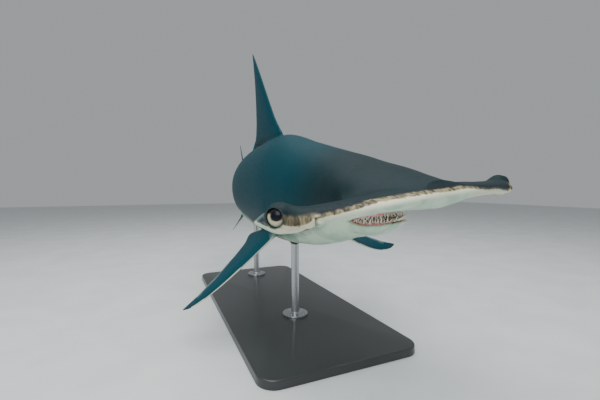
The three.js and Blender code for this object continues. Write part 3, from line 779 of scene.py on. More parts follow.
@dataclass
class Shell:
    """Points and faces, with faces as rows of point numbers. A triangle's fourth number is -1."""

    points: Array
    faces: Array

    @staticmethod
    def tube(rings: Array, caps: bool = True) -> "Shell":
        """A tube through rings of equal length.

        Args:
            rings: Points, as rings by places by three.
            caps: Whether both ends are closed with a fan.

        Returns:
            The tube, with its faces pointing out.
        """
        count, around = rings.shape[:2]
        base = np.arange(count - 1)[:, None] * around
        here = np.arange(around)[None, :]
        after = (here + 1) % around
        beyond = base + around
        quads = np.stack([base + here, base + after, beyond + after, beyond + here], -1).reshape(-1, 4)
        points = rings.reshape(-1, 3)
        faces = [quads]
        if caps:
            ends = np.array([rings[0].mean(0), rings[-1].mean(0)])
            points = np.vstack([points, ends])
            start = count * around
            last = (count - 1) * around
            here, after = here[0], after[0]
            none = np.full(around, -1)
            faces.append(np.stack([np.full(around, start), after, here, none], 1))
            faces.append(np.stack([np.full(around, start + 1), last + here, last + after, none], 1))
        return Shell(points, np.vstack(faces)).outward()

    @staticmethod
    def joined(shells: list["Shell"]) -> "Shell":
        """Several shells as one, without welding them."""
        starts = np.cumsum([0] + [len(shell.points) for shell in shells[:-1]])
        faces = [np.where(shell.faces < 0, -1, shell.faces + start) for shell, start in zip(shells, starts)]
        return Shell(np.vstack([shell.points for shell in shells]), np.vstack(faces))

    def in_metres(self) -> "Shell":
        """The same shell in metres, from millimetres."""
        return Shell(self.points * MM, self.faces)

    def triangles(self) -> Array:
        """The faces split into triangles."""
        first = self.faces[:, [0, 1, 2]]
        quads = self.faces[self.faces[:, 3] >= 0]
        return np.vstack([first, quads[:, [0, 2, 3]]])

    def outward(self) -> "Shell":
        """The same shell with its faces pointing out."""
        a, b, c = (self.points[corner] for corner in self.triangles().T)
        volume = np.einsum("ij,ij->", a, np.cross(b, c))
        if volume >= 0:
            return self
        quads = self.faces[:, 3] >= 0
        turned = self.faces.copy()
        turned[quads] = self.faces[quads][:, [3, 2, 1, 0]]
        turned[~quads] = self.faces[~quads][:, [2, 1, 0, 3]]
        return Shell(self.points, turned)

    def edges(self) -> tuple[Array, Array]:
        """Each edge once, as pairs of point numbers, and how many faces share it."""
        quads = self.faces[:, 3] >= 0
        pairs = []
        for faces, corners in ((self.faces[quads], 4), (self.faces[~quads], 3)):
            pairs += [faces[:, [i, (i + 1) % corners]] for i in range(corners)]
        return np.unique(np.sort(np.vstack(pairs), axis=1), axis=0, return_counts=True)

    def relaxed(self, weight: Array | float, rounds: int) -> "Shell":
        """The same shell with its points drawn toward their neighbours' mean.

        Args:
            weight: How far each point goes in one round, from 0 to 1.
            rounds: How many times.

        Returns:
            The relaxed shell.
        """
        one, two = self.edges()[0].T
        count = len(self.points)
        points = self.points.copy()
        neighbours = np.bincount(one, minlength=count) + np.bincount(two, minlength=count)
        neighbours = np.maximum(neighbours, 1)
        share = np.broadcast_to(np.asarray(weight, float), (count,))[:, None]
        for _ in range(rounds):
            mean = np.empty_like(points)
            for axis in range(3):
                total = np.bincount(one, points[two, axis], count)
                total = total + np.bincount(two, points[one, axis], count)
                mean[:, axis] = total / neighbours
            points += (mean - points) * share
        return Shell(points, self.faces)

    def face_lists(self) -> list[list[int]]:
        """The faces as Blender takes them."""
        return [[i for i in face if i >= 0] for face in self.faces.tolist()]

    def to_object(self, name: str) -> bpy.types.Object:
        """A smooth-shaded Blender object with these points and faces.

        Args:
            name: The object's name.

        Returns:
            The object, linked to the scene.
        """
        mesh = bpy.data.meshes.new(name)
        mesh.from_pydata(self.points.tolist(), [], self.face_lists())
        mesh.shade_smooth()
        made = bpy.data.objects.new(name, mesh)
        bpy.context.scene.collection.objects.link(made)
        return made

    @staticmethod
    def from_object(source: bpy.types.Object) -> "Shell":
        """The points and faces of a Blender object of triangles and quads."""
        mesh = source.data
        points = np.empty(len(mesh.vertices) * 3)
        mesh.vertices.foreach_get("co", points)
        faces = [list(polygon.vertices) for polygon in mesh.polygons]
        rows = np.array([face + [-1] * (4 - len(face)) for face in faces])
        return Shell(points.reshape(-1, 3), rows)


def mark_points(piece: bpy.types.Object, name: str, values: Array) -> None:
    """Give each point of a piece a number or a vector, under a name."""
    kind, key = ("FLOAT", "value") if values.ndim == 1 else ("FLOAT_VECTOR", "vector")
    layer = piece.data.attributes.new(name, kind, "POINT")
    layer.data.foreach_set(key, values.astype(np.float32).ravel())


def surface_net(values: Array, axes: list[Array]) -> Shell:
    """The skin of a field, where it changes sign on a grid.

    Args:
        values: The field at each grid point, negative inside.
        axes: The grid's places along s, u and v.

    Returns:
        A shell of quads, open where the skin leaves the grid.
    """
    inside = values < 0
    cells = np.array(values.shape) - 1
    numbers, places, quads = [], [], []
    for axis in range(3):
        step = np.eye(3, dtype=int)[axis]
        low = inside[tuple(slice(0, size - d) for size, d in zip(values.shape, step))]
        high = inside[tuple(slice(d, None) for d in step)]
        at = np.argwhere(low != high)
        here = values[tuple(at.T)]
        there = values[tuple((at + step).T)]
        point = np.stack([axes[k][at[:, k]] for k in range(3)], 1)
        point[:, axis] += here / (here - there) * (axes[axis][at[:, axis] + 1] - axes[axis][at[:, axis]])
        corners = []
        whole = np.ones(len(at), bool)
        for back_a, back_b in ((0, 0), (1, 0), (1, 1), (0, 1)):
            cell = at.copy()
            cell[:, (axis + 1) % 3] -= back_a
            cell[:, (axis + 2) % 3] -= back_b
            fits = np.all((cell >= 0) & (cell < cells), axis=1)
            number = np.ravel_multi_index(np.where(fits[:, None], cell, 0).T, cells)
            numbers.append(number[fits])
            places.append(point[fits])
            corners.append(number)
            whole &= fits
        quad = np.stack(corners, 1)[whole]
        turned = ~low[tuple(at[whole].T)]
        quad[turned] = quad[turned][:, ::-1]
        quads.append(quad)
    known, index = np.unique(np.concatenate(numbers), return_inverse=True)
    stacked = np.vstack(places)
    count = np.bincount(index)
    points = np.stack([np.bincount(index, stacked[:, k]) / count for k in range(3)], 1)
    return Shell(points, np.searchsorted(known, np.vstack(quads)))


def graded(stops: tuple, end: float) -> Array:
    """Grid places whose spacing changes at stops.

    Args:
        stops: Rows of start and spacing.
        end: The last place.

    Returns:
        Rising places.
    """
    places = []
    ends = [start for start, _ in stops[1:]] + [end]
    for (start, spacing), stop in zip(stops, ends):
        count = max(1, round((stop - start) / spacing))
        places.append(np.linspace(start, stop, count, endpoint=False))
    return np.concatenate(places + [np.array([end], float)])


# The skin


class Mark(Enum):
    """Names of the point attributes that the skin's finish reads."""

    SHADE_LINE = "shade_line"
    SHADE_WIDTH = "shade_width"
    EDGE = "edge_band"
    CHEEK = "cheek"
    RIM = "lid_rim"
    LINING = "mouth_lining"
    # Painted shade: how deep a point lies in a gill slit.
    HOLLOW = "dark_hollow"
    FIN = "fin_share"
    TIP = "fin_tip"
    THROAT = "throat"
    PALE = "pale_edge"
    # 1 except on the far wing, whose edge band is painted lower and paler as painted light.
    WARM = "warm_band"
    LOBE = "lobe_side"


@dataclass(frozen=True)
class SkinZones:
    """The zones that the skin's finish reads. A pair runs from where a zone starts to where it is full."""

    head: HeadForm
    gills: GillSlits
    fins: list
    # Height of the line between dark back and pale belly. Behind the head it is set low, so the dark back
    # colour there also stands for painted shade under the head.
    flank: tuple = (
        (180, 0),
        (260, -22),
        (340, -66),
        (420, -104),
        (560, -138),
        (720, -172),
        (860, -186),
        (980, -170),
        (1300, -112),
        (1800, -62),
        (2300, -20),
    )
    line_drop: float = 2
    wings: tuple = (190, 250)
    trunk: tuple = (190, 290)
    softening: tuple = (200, 480)
    sharp: float = 2
    soft: float = 34
    band_depth: float = 12
    band_fade: tuple = (10, 40)
    band_shift: tuple = (
        (0, 8),
        (225, 9),
        (300, 2),
        (350, -1),
        (374, -2),
        (386, -7),
        (404, -20),
        (430, -20),
        (450, -12),
    )
    # On the far wing the edge band lies lower and paler, with less tan: painted light for how light falls on
    # that wing.
    far_drop: float = 13
    far_wing: tuple = (40, 190)
    corner_rear: tuple = (-16, -2)
    corner_out: tuple = (380, 410)
    corner_before: float = 260
    corner_share: float = 0.8
    fin_reach: float = 45
    below_root: float = 60
    past_tip: float = 30
    fin_margin: float = 30
    root_fade: float = 36
    dark_line: float = -60
    anal_line: float = -20
    dark_tip: tuple = (0.84, 0.97)
    fin_softness: float = 2.5
    strip_at: float = 2
    strip_fade: tuple = (3, 7)
    strip_end: float = 0.93
    strip_share: float = 0.8
    lobe_rear: tuple = (114, 160)
    lobe_out: tuple = (380, 424)
    rim_fade: tuple = (1.0, 3.4)
    cheek_inner: tuple = (362, 380)
    cheek_outer: tuple = (432, 446)
    cheek_rear: tuple = (96, 130)
    cheek_eye: tuple = (20, 26)
    cheek_top: tuple = (4, 16)
    lining_before: float = 345
    lining_inset: float = 4
    lining_fade: tuple = (0.5, 3.0)
    lining_edge: tuple = (-1, 3)
    slits: tuple = (520, 800)
    throat_top: tuple = (-40, -110)
    throat_rear: tuple = (420, 700)

    def shade(self, s: Array, u: Array, v: Array) -> tuple[Array, Array]:
        """Depth below the line between dark and pale, and the softness of that line, without the fins."""
        inboard = 1 - step_between(*self.wings, np.abs(u))
        to_trunk = step_between(*self.trunk, s) * inboard
        flank = table_curves(self.flank)[0](s)
        line = self.head.blade.middle(s, u) * (1 - to_trunk) + flank * to_trunk - v + self.line_drop
        return line, self.sharp + self.soft * step_between(*self.softening, s) * inboard

    def edge_band(self, s: Array, u: Array, v: Array) -> Array:
        """Closeness to the head's leading edge."""
        lead, _, half, _, _ = self.head.blade.plan(u)
        behind = np.maximum(s - lead - self.band_depth, 0)
        beside = np.maximum(np.abs(v - self.head.blade.middle(s, u)) - half, 0)
        return 1 - step_between(*self.band_fade, np.hypot(behind, beside))

    def rear_corner(self, s: Array, u: Array) -> Array:
        """Closeness to the rear corner of each wing of the head."""
        behind = step_between(*self.corner_rear, s - self.head.blade.plan(u)[1])
        return behind * step_between(*self.corner_out, np.abs(u)) * (s < self.corner_before)

    def add_fin(self, marks: dict[Mark, Array], fin: Fin, points: Array, on_fin: Array) -> None:
        """Work one fin into the marks.

        Args:
            marks: The marks so far, which are changed.
            fin: The fin.
            points: Rows of s, u and v.
            on_fin: Which points are on fins.
        """
        rows = np.array(fin.ribs, float)
        a, b, offset = fin.from_body(points)
        root, end = rows[1, 1], rows[-1, 1]
        way = np.sign(end - root)
        grown_out = (b - root) * way
        inside = on_fin & (np.abs(offset) < self.fin_reach)
        inside &= (grown_out > -self.below_root) & ((b - end) * way < self.past_tip)
        inside &= (a > rows[:, 0].min() - self.fin_margin) & (a < rows[:, 2].max() + self.fin_margin)
        out = np.clip((b - root) / (end - root), 0, 1)
        grown = step_between(0, self.root_fade, grown_out) * inside
        own_line = self.anal_line if fin.name == "anal fin" else self.dark_line
        if isinstance(fin, PairedFin):
            own_line = -offset + 1 + self.dark_line * step_between(*self.dark_tip, out)
            lead = np.interp(b, rows[1:, 1], rows[1:, 0])
            strip = 1 - step_between(*self.strip_fade, np.abs(a - lead - self.strip_at))
            strip = strip * (offset < self.strip_at) * inside * grown * (out < self.strip_end)
            marks[Mark.PALE] = np.maximum(marks[Mark.PALE], strip)
        for mark, own in ((Mark.SHADE_LINE, own_line), (Mark.SHADE_WIDTH, self.fin_softness)):
            marks[mark] = np.where(inside, marks[mark] * (1 - grown) + own * grown, marks[mark])
        marks[Mark.FIN] = np.maximum(marks[Mark.FIN], grown)
        marks[Mark.TIP] = np.maximum(marks[Mark.TIP], out * inside)
        marks[Mark.EDGE] = np.where(inside, 0, marks[Mark.EDGE])

    def round_eyes(self, s: Array, u: Array, v: Array) -> tuple[Array, Array]:
        """The mottled cheek round each eye, and the rim of its lids."""
        cheek = np.zeros_like(s)
        rim = np.zeros_like(s)
        height = v - self.head.blade.middle(s, u)
        for eye in self.head.eyes:
            along, off = eye.along_and_off(s, u, v)
            ring = 1 - step_between(*self.rim_fade, np.abs(off - eye.lid_radius + 1))
            rim = np.maximum(rim, (along > 0) * np.maximum(ring, off < eye.lid_radius))
            side = u * eye.side
            patch = step_between(*self.cheek_inner, side) * (1 - step_between(*self.cheek_outer, side))
            patch = patch * (1 - step_between(*self.cheek_rear, s))
            patch = patch * step_between(*self.cheek_eye, off) * (1 - step_between(*self.cheek_top, height))
            cheek = np.maximum(cheek, patch)
        return cheek, rim

    def lining(self, s: Array, u: Array, v: Array) -> Array:
        """The inside of the open mouth."""
        jaw = self.head.jaw
        inset = self.lining_inset
        inner = np.minimum(jaw.half(s) - inset - np.abs(u), (s - jaw.front - inset) * 2)
        lining = 1 - step_between(*self.lining_fade, self.head.gape(s, u, v))
        return lining * (s < self.lining_before) * step_between(*self.lining_edge, inner)

    def slit_depth(self, s: Array, u: Array, v: Array) -> Array:
        """How deep a point is inside a gill slit, from 0 to 1."""
        angle = np.arctan2(v - self.head.trunk.shape(s)[3], u)
        _, slit = self.gills.relief(s - self.gills.bowed(s, angle), angle)
        return slit * (s > self.slits[0]) * (s < self.slits[1])

    def marks(self, points: Array, on_fin: Array) -> dict[Mark, Array]:
        """What the finish needs to know at each point.

        Args:
            points: Rows of s, u and v.
            on_fin: Which points are on fins.

        Returns:
            One value for each point under each mark.
        """
        s, u, v = points.T
        # 1 on the near side and 0 on the far wing, which gets painted light.
        near_side = 1 - step_between(*self.far_wing, u)
        band = self.edge_band(s, u, v)
        shift = table_curves(self.band_shift)[0](np.abs(u)) - self.far_drop * (1 - near_side)
        marks = {mark: np.zeros_like(s) for mark in Mark}
        line, marks[Mark.SHADE_WIDTH] = self.shade(s, u, v)
        marks[Mark.SHADE_LINE] = line + shift * band
        marks[Mark.EDGE] = np.maximum(band, self.corner_share * self.rear_corner(s, u))
        for fin in self.fins:
            self.add_fin(marks, fin, points, on_fin)
        marks[Mark.PALE] = marks[Mark.PALE] * self.strip_share
        marks[Mark.WARM] = near_side
        marks[Mark.CHEEK], marks[Mark.RIM] = self.round_eyes(s, u, v)
        lobe = step_between(*self.lobe_rear, s) * step_between(*self.lobe_out, np.abs(u))
        marks[Mark.LOBE] = lobe * (~on_fin)
        marks[Mark.LINING] = self.lining(s, u, v) * (~on_fin)
        # Painted shade inside the gill slits, darker where a point lies deeper.
        marks[Mark.HOLLOW] = self.slit_depth(s, u, v) * (~on_fin)
        throat = step_between(*self.throat_top, v) * (1 - step_between(*self.throat_rear, s))
        marks[Mark.THROAT] = throat * (~on_fin)
        return marks


@dataclass
class SharkSkin:
    """The whole skin, from the blade of the head to the tail's tips, as one piece."""

    line: SwimLine
    head: HeadForm
    gills: GillSlits
    fins: list
    head_end: float = 404
    last_grid_plane: float = 401
    still_from: float = 396
    around: int = 120
    polish_rounds: int = 3
    polish_weight: float = 0.5
    probe: float = 0.4
    longest_step: float = 1.5
    least_slope: float = 0.04
    fillet: float = 26
    fillet_rounds: int = 10
    fillet_weight: float = 0.6
    grid_s: tuple = ((-10, 2.8), (50, 3.1), (150, 3.6), (300, 5.4))
    grid_u: tuple = ((0, 4.4), (120, 7.5), (352, 2.5))
    grid_v: tuple = ((-184, 5), (-100, 3.2), (-42, 2.2), (42, 5))
    grid_side: float = 460
    grid_top: float = 162
    slit_rows: tuple = (0.8, 2, 3.9, 6.5, 10, 14.5, 20)
    row_steps: tuple = (7, 11, 15)
    tail_from: float = 1400

    @property
    def trunk(self) -> Trunk:
        """The trunk that the head grows from."""
        return self.head.trunk

    def head_shell(self) -> Shell:
        """The head's skin from the field, open at the neck."""
        s = graded(self.grid_s, self.last_grid_plane)
        half = graded(self.grid_u, self.grid_side)
        u = np.concatenate([-half[:0:-1], half])
        v = graded(self.grid_v, self.grid_top)
        values = self.head.distance(s[:, None, None], u[None, :, None], v[None, None, :])
        shell = surface_net(values, [s, u, v])
        for _ in range(self.polish_rounds):
            weight = np.where(shell.points[:, 0] > self.still_from, 0, self.polish_weight)
            shell = shell.relaxed(weight, 2)
            shell = Shell(self.on_skin(shell.points), shell.faces)
        return shell.outward()

    def on_skin(self, points: Array) -> Array:
        """Move points along the field's slope onto the head's skin.

        Args:
            points: Rows of s, u and v near the skin.

        Returns:
            The moved points.
        """
        value = self.head.distance(*points.T)
        slope = np.empty_like(points)
        for axis in range(3):
            shift = np.zeros(3)
            shift[axis] = self.probe
            ahead = self.head.distance(*(points + shift).T)
            behind = self.head.distance(*(points - shift).T)
            slope[:, axis] = (ahead - behind) / (2 * self.probe)
        steep = np.maximum((slope**2).sum(1), self.least_slope)
        move = -slope * (value / steep)[:, None]
        length = np.linalg.norm(move, axis=1, keepdims=True)
        return points + move * np.minimum(1, self.longest_step / np.maximum(length, 1e-9))

    def rows(self) -> Array:
        """Stations of the trunk's rings, close together at the gills."""
        beside = np.array(self.slit_rows)
        offsets = np.concatenate([-beside[::-1], beside])
        slits = (self.gills.stations()[:, None] + offsets[None, :]).ravel()
        close, middling, wide = self.row_steps
        before = graded(((self.head_end, close),), slits[0] - close + 1)
        after = graded(((slits[-1] + close, middling), (self.tail_from, wide)), self.trunk.sections[-1][0])
        return np.concatenate([before, slits, after])

    def body_shell(self) -> Shell:
        """The trunk behind the head, with its gills, closed at both ends."""
        rows = self.rows()
        angles = even_angles(self.around)
        s, angle = (grid.ravel() for grid in np.meshgrid(rows, angles, indexing="ij"))
        height, _ = self.gills.relief(s, angle)
        points = self.trunk.surface(s + self.gills.bowed(s, angle), angle, height)
        return Shell.tube(points.reshape(len(rows), self.around, 3))

    def united(self, body: Shell) -> tuple[Shell, Array]:
        """The trunk and all fins as one closed shell.

        Args:
            body: The closed trunk.

        Returns:
            The shell, and a mask of the points that are on fins.
        """
        base = body.in_metres().to_object("trunk_with_fins")
        for _ in range(2):
            base.data.materials.append(None)
        cutters = []
        for fin in self.fins:
            cutter = fin.shell().in_metres().to_object(fin.name)
            for _ in range(2):
                cutter.data.materials.append(None)
            cutter.data.polygons.foreach_set("material_index", np.ones(len(cutter.data.polygons), int))
            union = base.modifiers.new(fin.name, "BOOLEAN")
            union.operation = "UNION"
            union.solver = "MANIFOLD"
            union.object = cutter
            cutters.append(cutter)
        split = base.modifiers.new("split", "TRIANGULATE")
        split.min_vertices = 5
        graph = bpy.context.evaluated_depsgraph_get()
        plain = bpy.data.meshes.new_from_object(base.evaluated_get(graph))
        base.modifiers.clear()
        base.data = plain
        shell = Shell.from_object(base)
        shell.points /= MM
        index = np.empty(len(plain.polygons), int)
        plain.polygons.foreach_get("material_index", index)
        on_fin = np.zeros(len(shell.points), bool)
        on_trunk = np.zeros(len(shell.points), bool)
        for mask, chosen in ((on_fin, index == 1), (on_trunk, index == 0)):
            corners = shell.faces[chosen].ravel()
            mask[corners[corners >= 0]] = True
        for used in cutters + [base]:
            bpy.data.objects.remove(used)
        seam = np.flatnonzero(on_fin & on_trunk)
        return self.filleted(shell, seam), on_fin

    def filleted(self, shell: Shell, seam: Array) -> Shell:
        """Smooth the corner where each fin grows from the trunk.

        Args:
            shell: The shell.
            seam: Numbers of the points on the seams.

        Returns:
            The smoothed shell.
        """
        tree = KDTree(len(seam))
        for number in seam:
            tree.insert(Vector(shell.points[number]), int(number))
        tree.balance()
        away = np.array([tree.find(Vector(point))[2] for point in shell.points])
        weight = self.fillet_weight * (1 - step_between(0, self.fillet, away))
        return shell.relaxed(weight, self.fillet_rounds)

    def rim_loop(self, shell: Shell) -> Array:
        """Numbers of the points on a shell's open rim, in order round the trunk.

        Args:
            shell: A shell with one open rim, near head_end.

        Returns:
            Point numbers by rising angle.
        """
        known, count = shell.edges()
        beside = {}
        for here, there in known[count == 1]:
            beside.setdefault(here, []).append(there)
            beside.setdefault(there, []).append(here)
        rim = [min(beside)]
        while len(rim) < len(beside):
            rim.append(next(point for point in beside[rim[-1]] if point not in rim[-2:]))
        rim = np.array(rim)
        turns = np.diff(np.unwrap(self.bearing(shell.points[rim])))
        rim = rim if turns.sum() > 0 else rim[::-1]
        return np.roll(rim, -int(np.argmin(self.bearing(shell.points[rim]))))

    def bearing(self, points: Array) -> Array:
        """Angle of each point round the trunk's middle."""
        widest = self.trunk.shape(points[:, 0])[3]
        return np.arctan2(points[:, 2] - widest, points[:, 1])

    def bridged(self, head: Shell, body: Shell) -> Shell:
        """Head and trunk as one shell, with a strip of triangles between their rims.

        Args:
            head: The head, open at the neck.
            body: The trunk, open in front.

        Returns:
            One closed shell.
        """
        ahead = self.rim_loop(head)
        behind = self.rim_loop(body)
        ahead_at = np.unwrap(self.bearing(head.points[ahead]))
        behind_at = np.unwrap(self.bearing(body.points[behind]))
        behind = behind + len(head.points)
        i = j = 0
        strip = []
        while i < len(ahead) or j < len(behind):
            next_ahead = ahead_at[i + 1] if i + 1 < len(ahead) else ahead_at[0] + 2 * np.pi
            next_behind = behind_at[j + 1] if j + 1 < len(behind) else behind_at[0] + 2 * np.pi
            here, there = ahead[i % len(ahead)], behind[j % len(behind)]
            if j >= len(behind) or (i < len(ahead) and next_ahead <= next_behind):
                i += 1
                strip.append([here, ahead[i % len(ahead)], there, -1])
            else:
                j += 1
                strip.append([here, behind[j % len(behind)], there, -1])
        whole = Shell.joined([head, body])
        return Shell(whole.points, np.vstack([whole.faces, np.array(strip)]))

    def build_shell(self) -> tuple[Shell, Array]:
        """The whole straight body, and a mask of its points that are on fins."""
        head = self.head_shell()
        body, on_fin = self.united(self.body_shell())
        LOG.info("head %d faces, trunk and fins %d faces", len(head.faces), len(body.faces))
        corners = np.where(body.faces < 0, body.faces[:, :1], body.faces)
        cap = np.all(body.points[corners][:, :, 0] < self.head_end + 0.01, axis=1)
        body = Shell(body.points, body.faces[~cap])
        kept = np.zeros(len(body.points), bool)
        kept[body.faces[body.faces >= 0]] = True
        number = np.cumsum(kept) - 1
        body = Shell(body.points[kept], np.where(body.faces < 0, -1, number[body.faces]))
        whole = self.bridged(head, body)
        return whole, np.concatenate([np.zeros(len(head.points), bool), on_fin[kept]])

    def build(self, material: bpy.types.Material) -> bpy.types.Object:
        """Make the skin in the pose, with this finish."""
        whole, on_fin = self.build_shell()
        marks = SkinZones(self.head, self.gills, self.fins).marks(whole.points, on_fin)
        posed = Shell(self.line.place(whole.points), whole.faces)
        piece = posed.to_object("shark_skin")
        for mark, values in marks.items():
            mark_points(piece, mark.value, values)
        mark_points(piece, "straight", whole.points * MM)
        piece.data.materials.append(material)
        LOG.info("shark_skin: %d points, %d faces", len(posed.points), len(posed.faces))
        return piece


# Node trees


class Link:
    """One output of a node, which can be added, multiplied and compared like a number."""

    def __init__(self, graph: "Graph", socket: bpy.types.NodeSocket) -> None:
        """Keep the tree and the socket."""
        self.graph = graph
        self.socket = socket

    def __add__(self, other: "Link | float") -> "Link":
        """The sum."""
        return self.graph.maths("ADD", self, other)

    def __radd__(self, other: float) -> "Link":
        """The sum."""
        return self.graph.maths("ADD", other, self)

    def __sub__(self, other: "Link | float") -> "Link":
        """The difference."""
        return self.graph.maths("SUBTRACT", self, other)

    def __rsub__(self, other: float) -> "Link":
        """The difference."""
        return self.graph.maths("SUBTRACT", other, self)

    def __mul__(self, other: "Link | float") -> "Link":
        """The product."""
        return self.graph.maths("MULTIPLY", self, other)


class Graph:
    """A node tree, written as calls."""

    def __init__(self, tree: bpy.types.NodeTree) -> None:
        """Keep the tree."""
        self.tree = tree

    def node(self, kind: str, settings: dict | None = None, inputs: dict | None = None) -> bpy.types.Node:
        """Add a node.

        Args:
            kind: The node's type.
            settings: Its settings, set first.
            inputs: Values or links for its sockets, by name or number.

        Returns:
            The node.
        """
        made = self.tree.nodes.new(kind)
        for name, value in (settings or {}).items():
            setattr(made, name, value)
        for key, value in (inputs or {}).items():
            if isinstance(value, Link):
                self.tree.links.new(value.socket, made.inputs[key])
            else:
                made.inputs[key].default_value = value
        return made

    def output(
        self, kind: str, settings: dict | None = None, inputs: dict | None = None, out: int | str = 0
    ) -> Link:
        """Add a node, as node() does, and take one of its outputs by name or number."""
        return Link(self, self.node(kind, settings, inputs).outputs[out])

    def maths(self, operation: str, a: "Link | float", b: "Link | float") -> Link:
        """A sum or the like of two values."""
        return self.output("ShaderNodeMath", {"operation": operation}, {0: a, 1: b})


def srgb(red: int, green: int, blue: int) -> tuple:
    """A colour given as 0 to 255, in the linear values that sockets take."""
    shares = (value / 255 for value in (red, green, blue))
    return tuple(x / 12.92 if x < 0.04045 else ((x + 0.055) / 1.055) ** 2.4 for x in shares) + (1.0,)


class Shader(Graph):
    """A material's node tree."""

    def __init__(self, name: str) -> None:
        """Make an empty material."""
        self.material = bpy.data.materials.new(name)
        self.material.use_nodes = True
        super().__init__(self.material.node_tree)
        self.tree.nodes.clear()

    def read(self, name: str, out: str = "Fac") -> Link:
        """An attribute of the points."""
        return self.output("ShaderNodeAttribute", {"attribute_name": name}, out=out)

    def step(self, low: float, high: float, value: Link) -> Link:
        """Rise smoothly from 0 at low to 1 at high."""
        settings = {"interpolation_type": "SMOOTHSTEP"}
        inputs = {"Value": value, "From Min": low, "From Max": high}
        return self.output("ShaderNodeMapRange", settings, inputs)

    def band(self, low: float, high: float, soft: float, value: Link) -> Link:
        """1 between low and high, and 0 beyond them."""
        return self.step(low - soft, low + soft, value) * (1 - self.step(high - soft, high + soft, value))

    def noise(self, where: Link, scale: float, detail: float = 3, distortion: float = 0) -> Link:
        """Cloudy noise, from about 0.25 to 0.75."""
        inputs = {"Vector": where, "Scale": scale, "Detail": detail, "Distortion": distortion}
        return self.output("ShaderNodeTexNoise", None, inputs)

    def cells(self, where: Link, scale: float) -> Link:
        """Distance to the nearest of many scattered points."""
        return self.output("ShaderNodeTexVoronoi", None, {"Vector": where, "Scale": scale})

    def stretched(self, where: Link, scales: tuple) -> Link:
        """Coordinates multiplied along each axis."""
        return self.output("ShaderNodeVectorMath", {"operation": "MULTIPLY"}, {0: where, 1: scales})

    def mixed(self, factor: "Link | float", a: "Link | tuple", b: "Link | tuple") -> Link:
        """Colour a where the factor is 0 and b where it is 1."""
        return self.output("ShaderNodeMix", {"data_type": "RGBA"}, {0: factor, 6: a, 7: b}, 2)

    def bump(self, height: Link, distance: float, strength: float = 1) -> Link:
        """A normal that shows a height."""
        inputs = {"Height": height, "Distance": distance, "Strength": strength}
        return self.output("ShaderNodeBump", None, inputs)

    def finished(self, inputs: dict) -> bpy.types.Material:
        """Close the tree with a surface of these inputs, and give its material."""
        surface = self.output("ShaderNodeBsdfPrincipled", None, inputs)
        self.node("ShaderNodeOutputMaterial", None, {"Surface": surface})
        return self.material


# Finishes


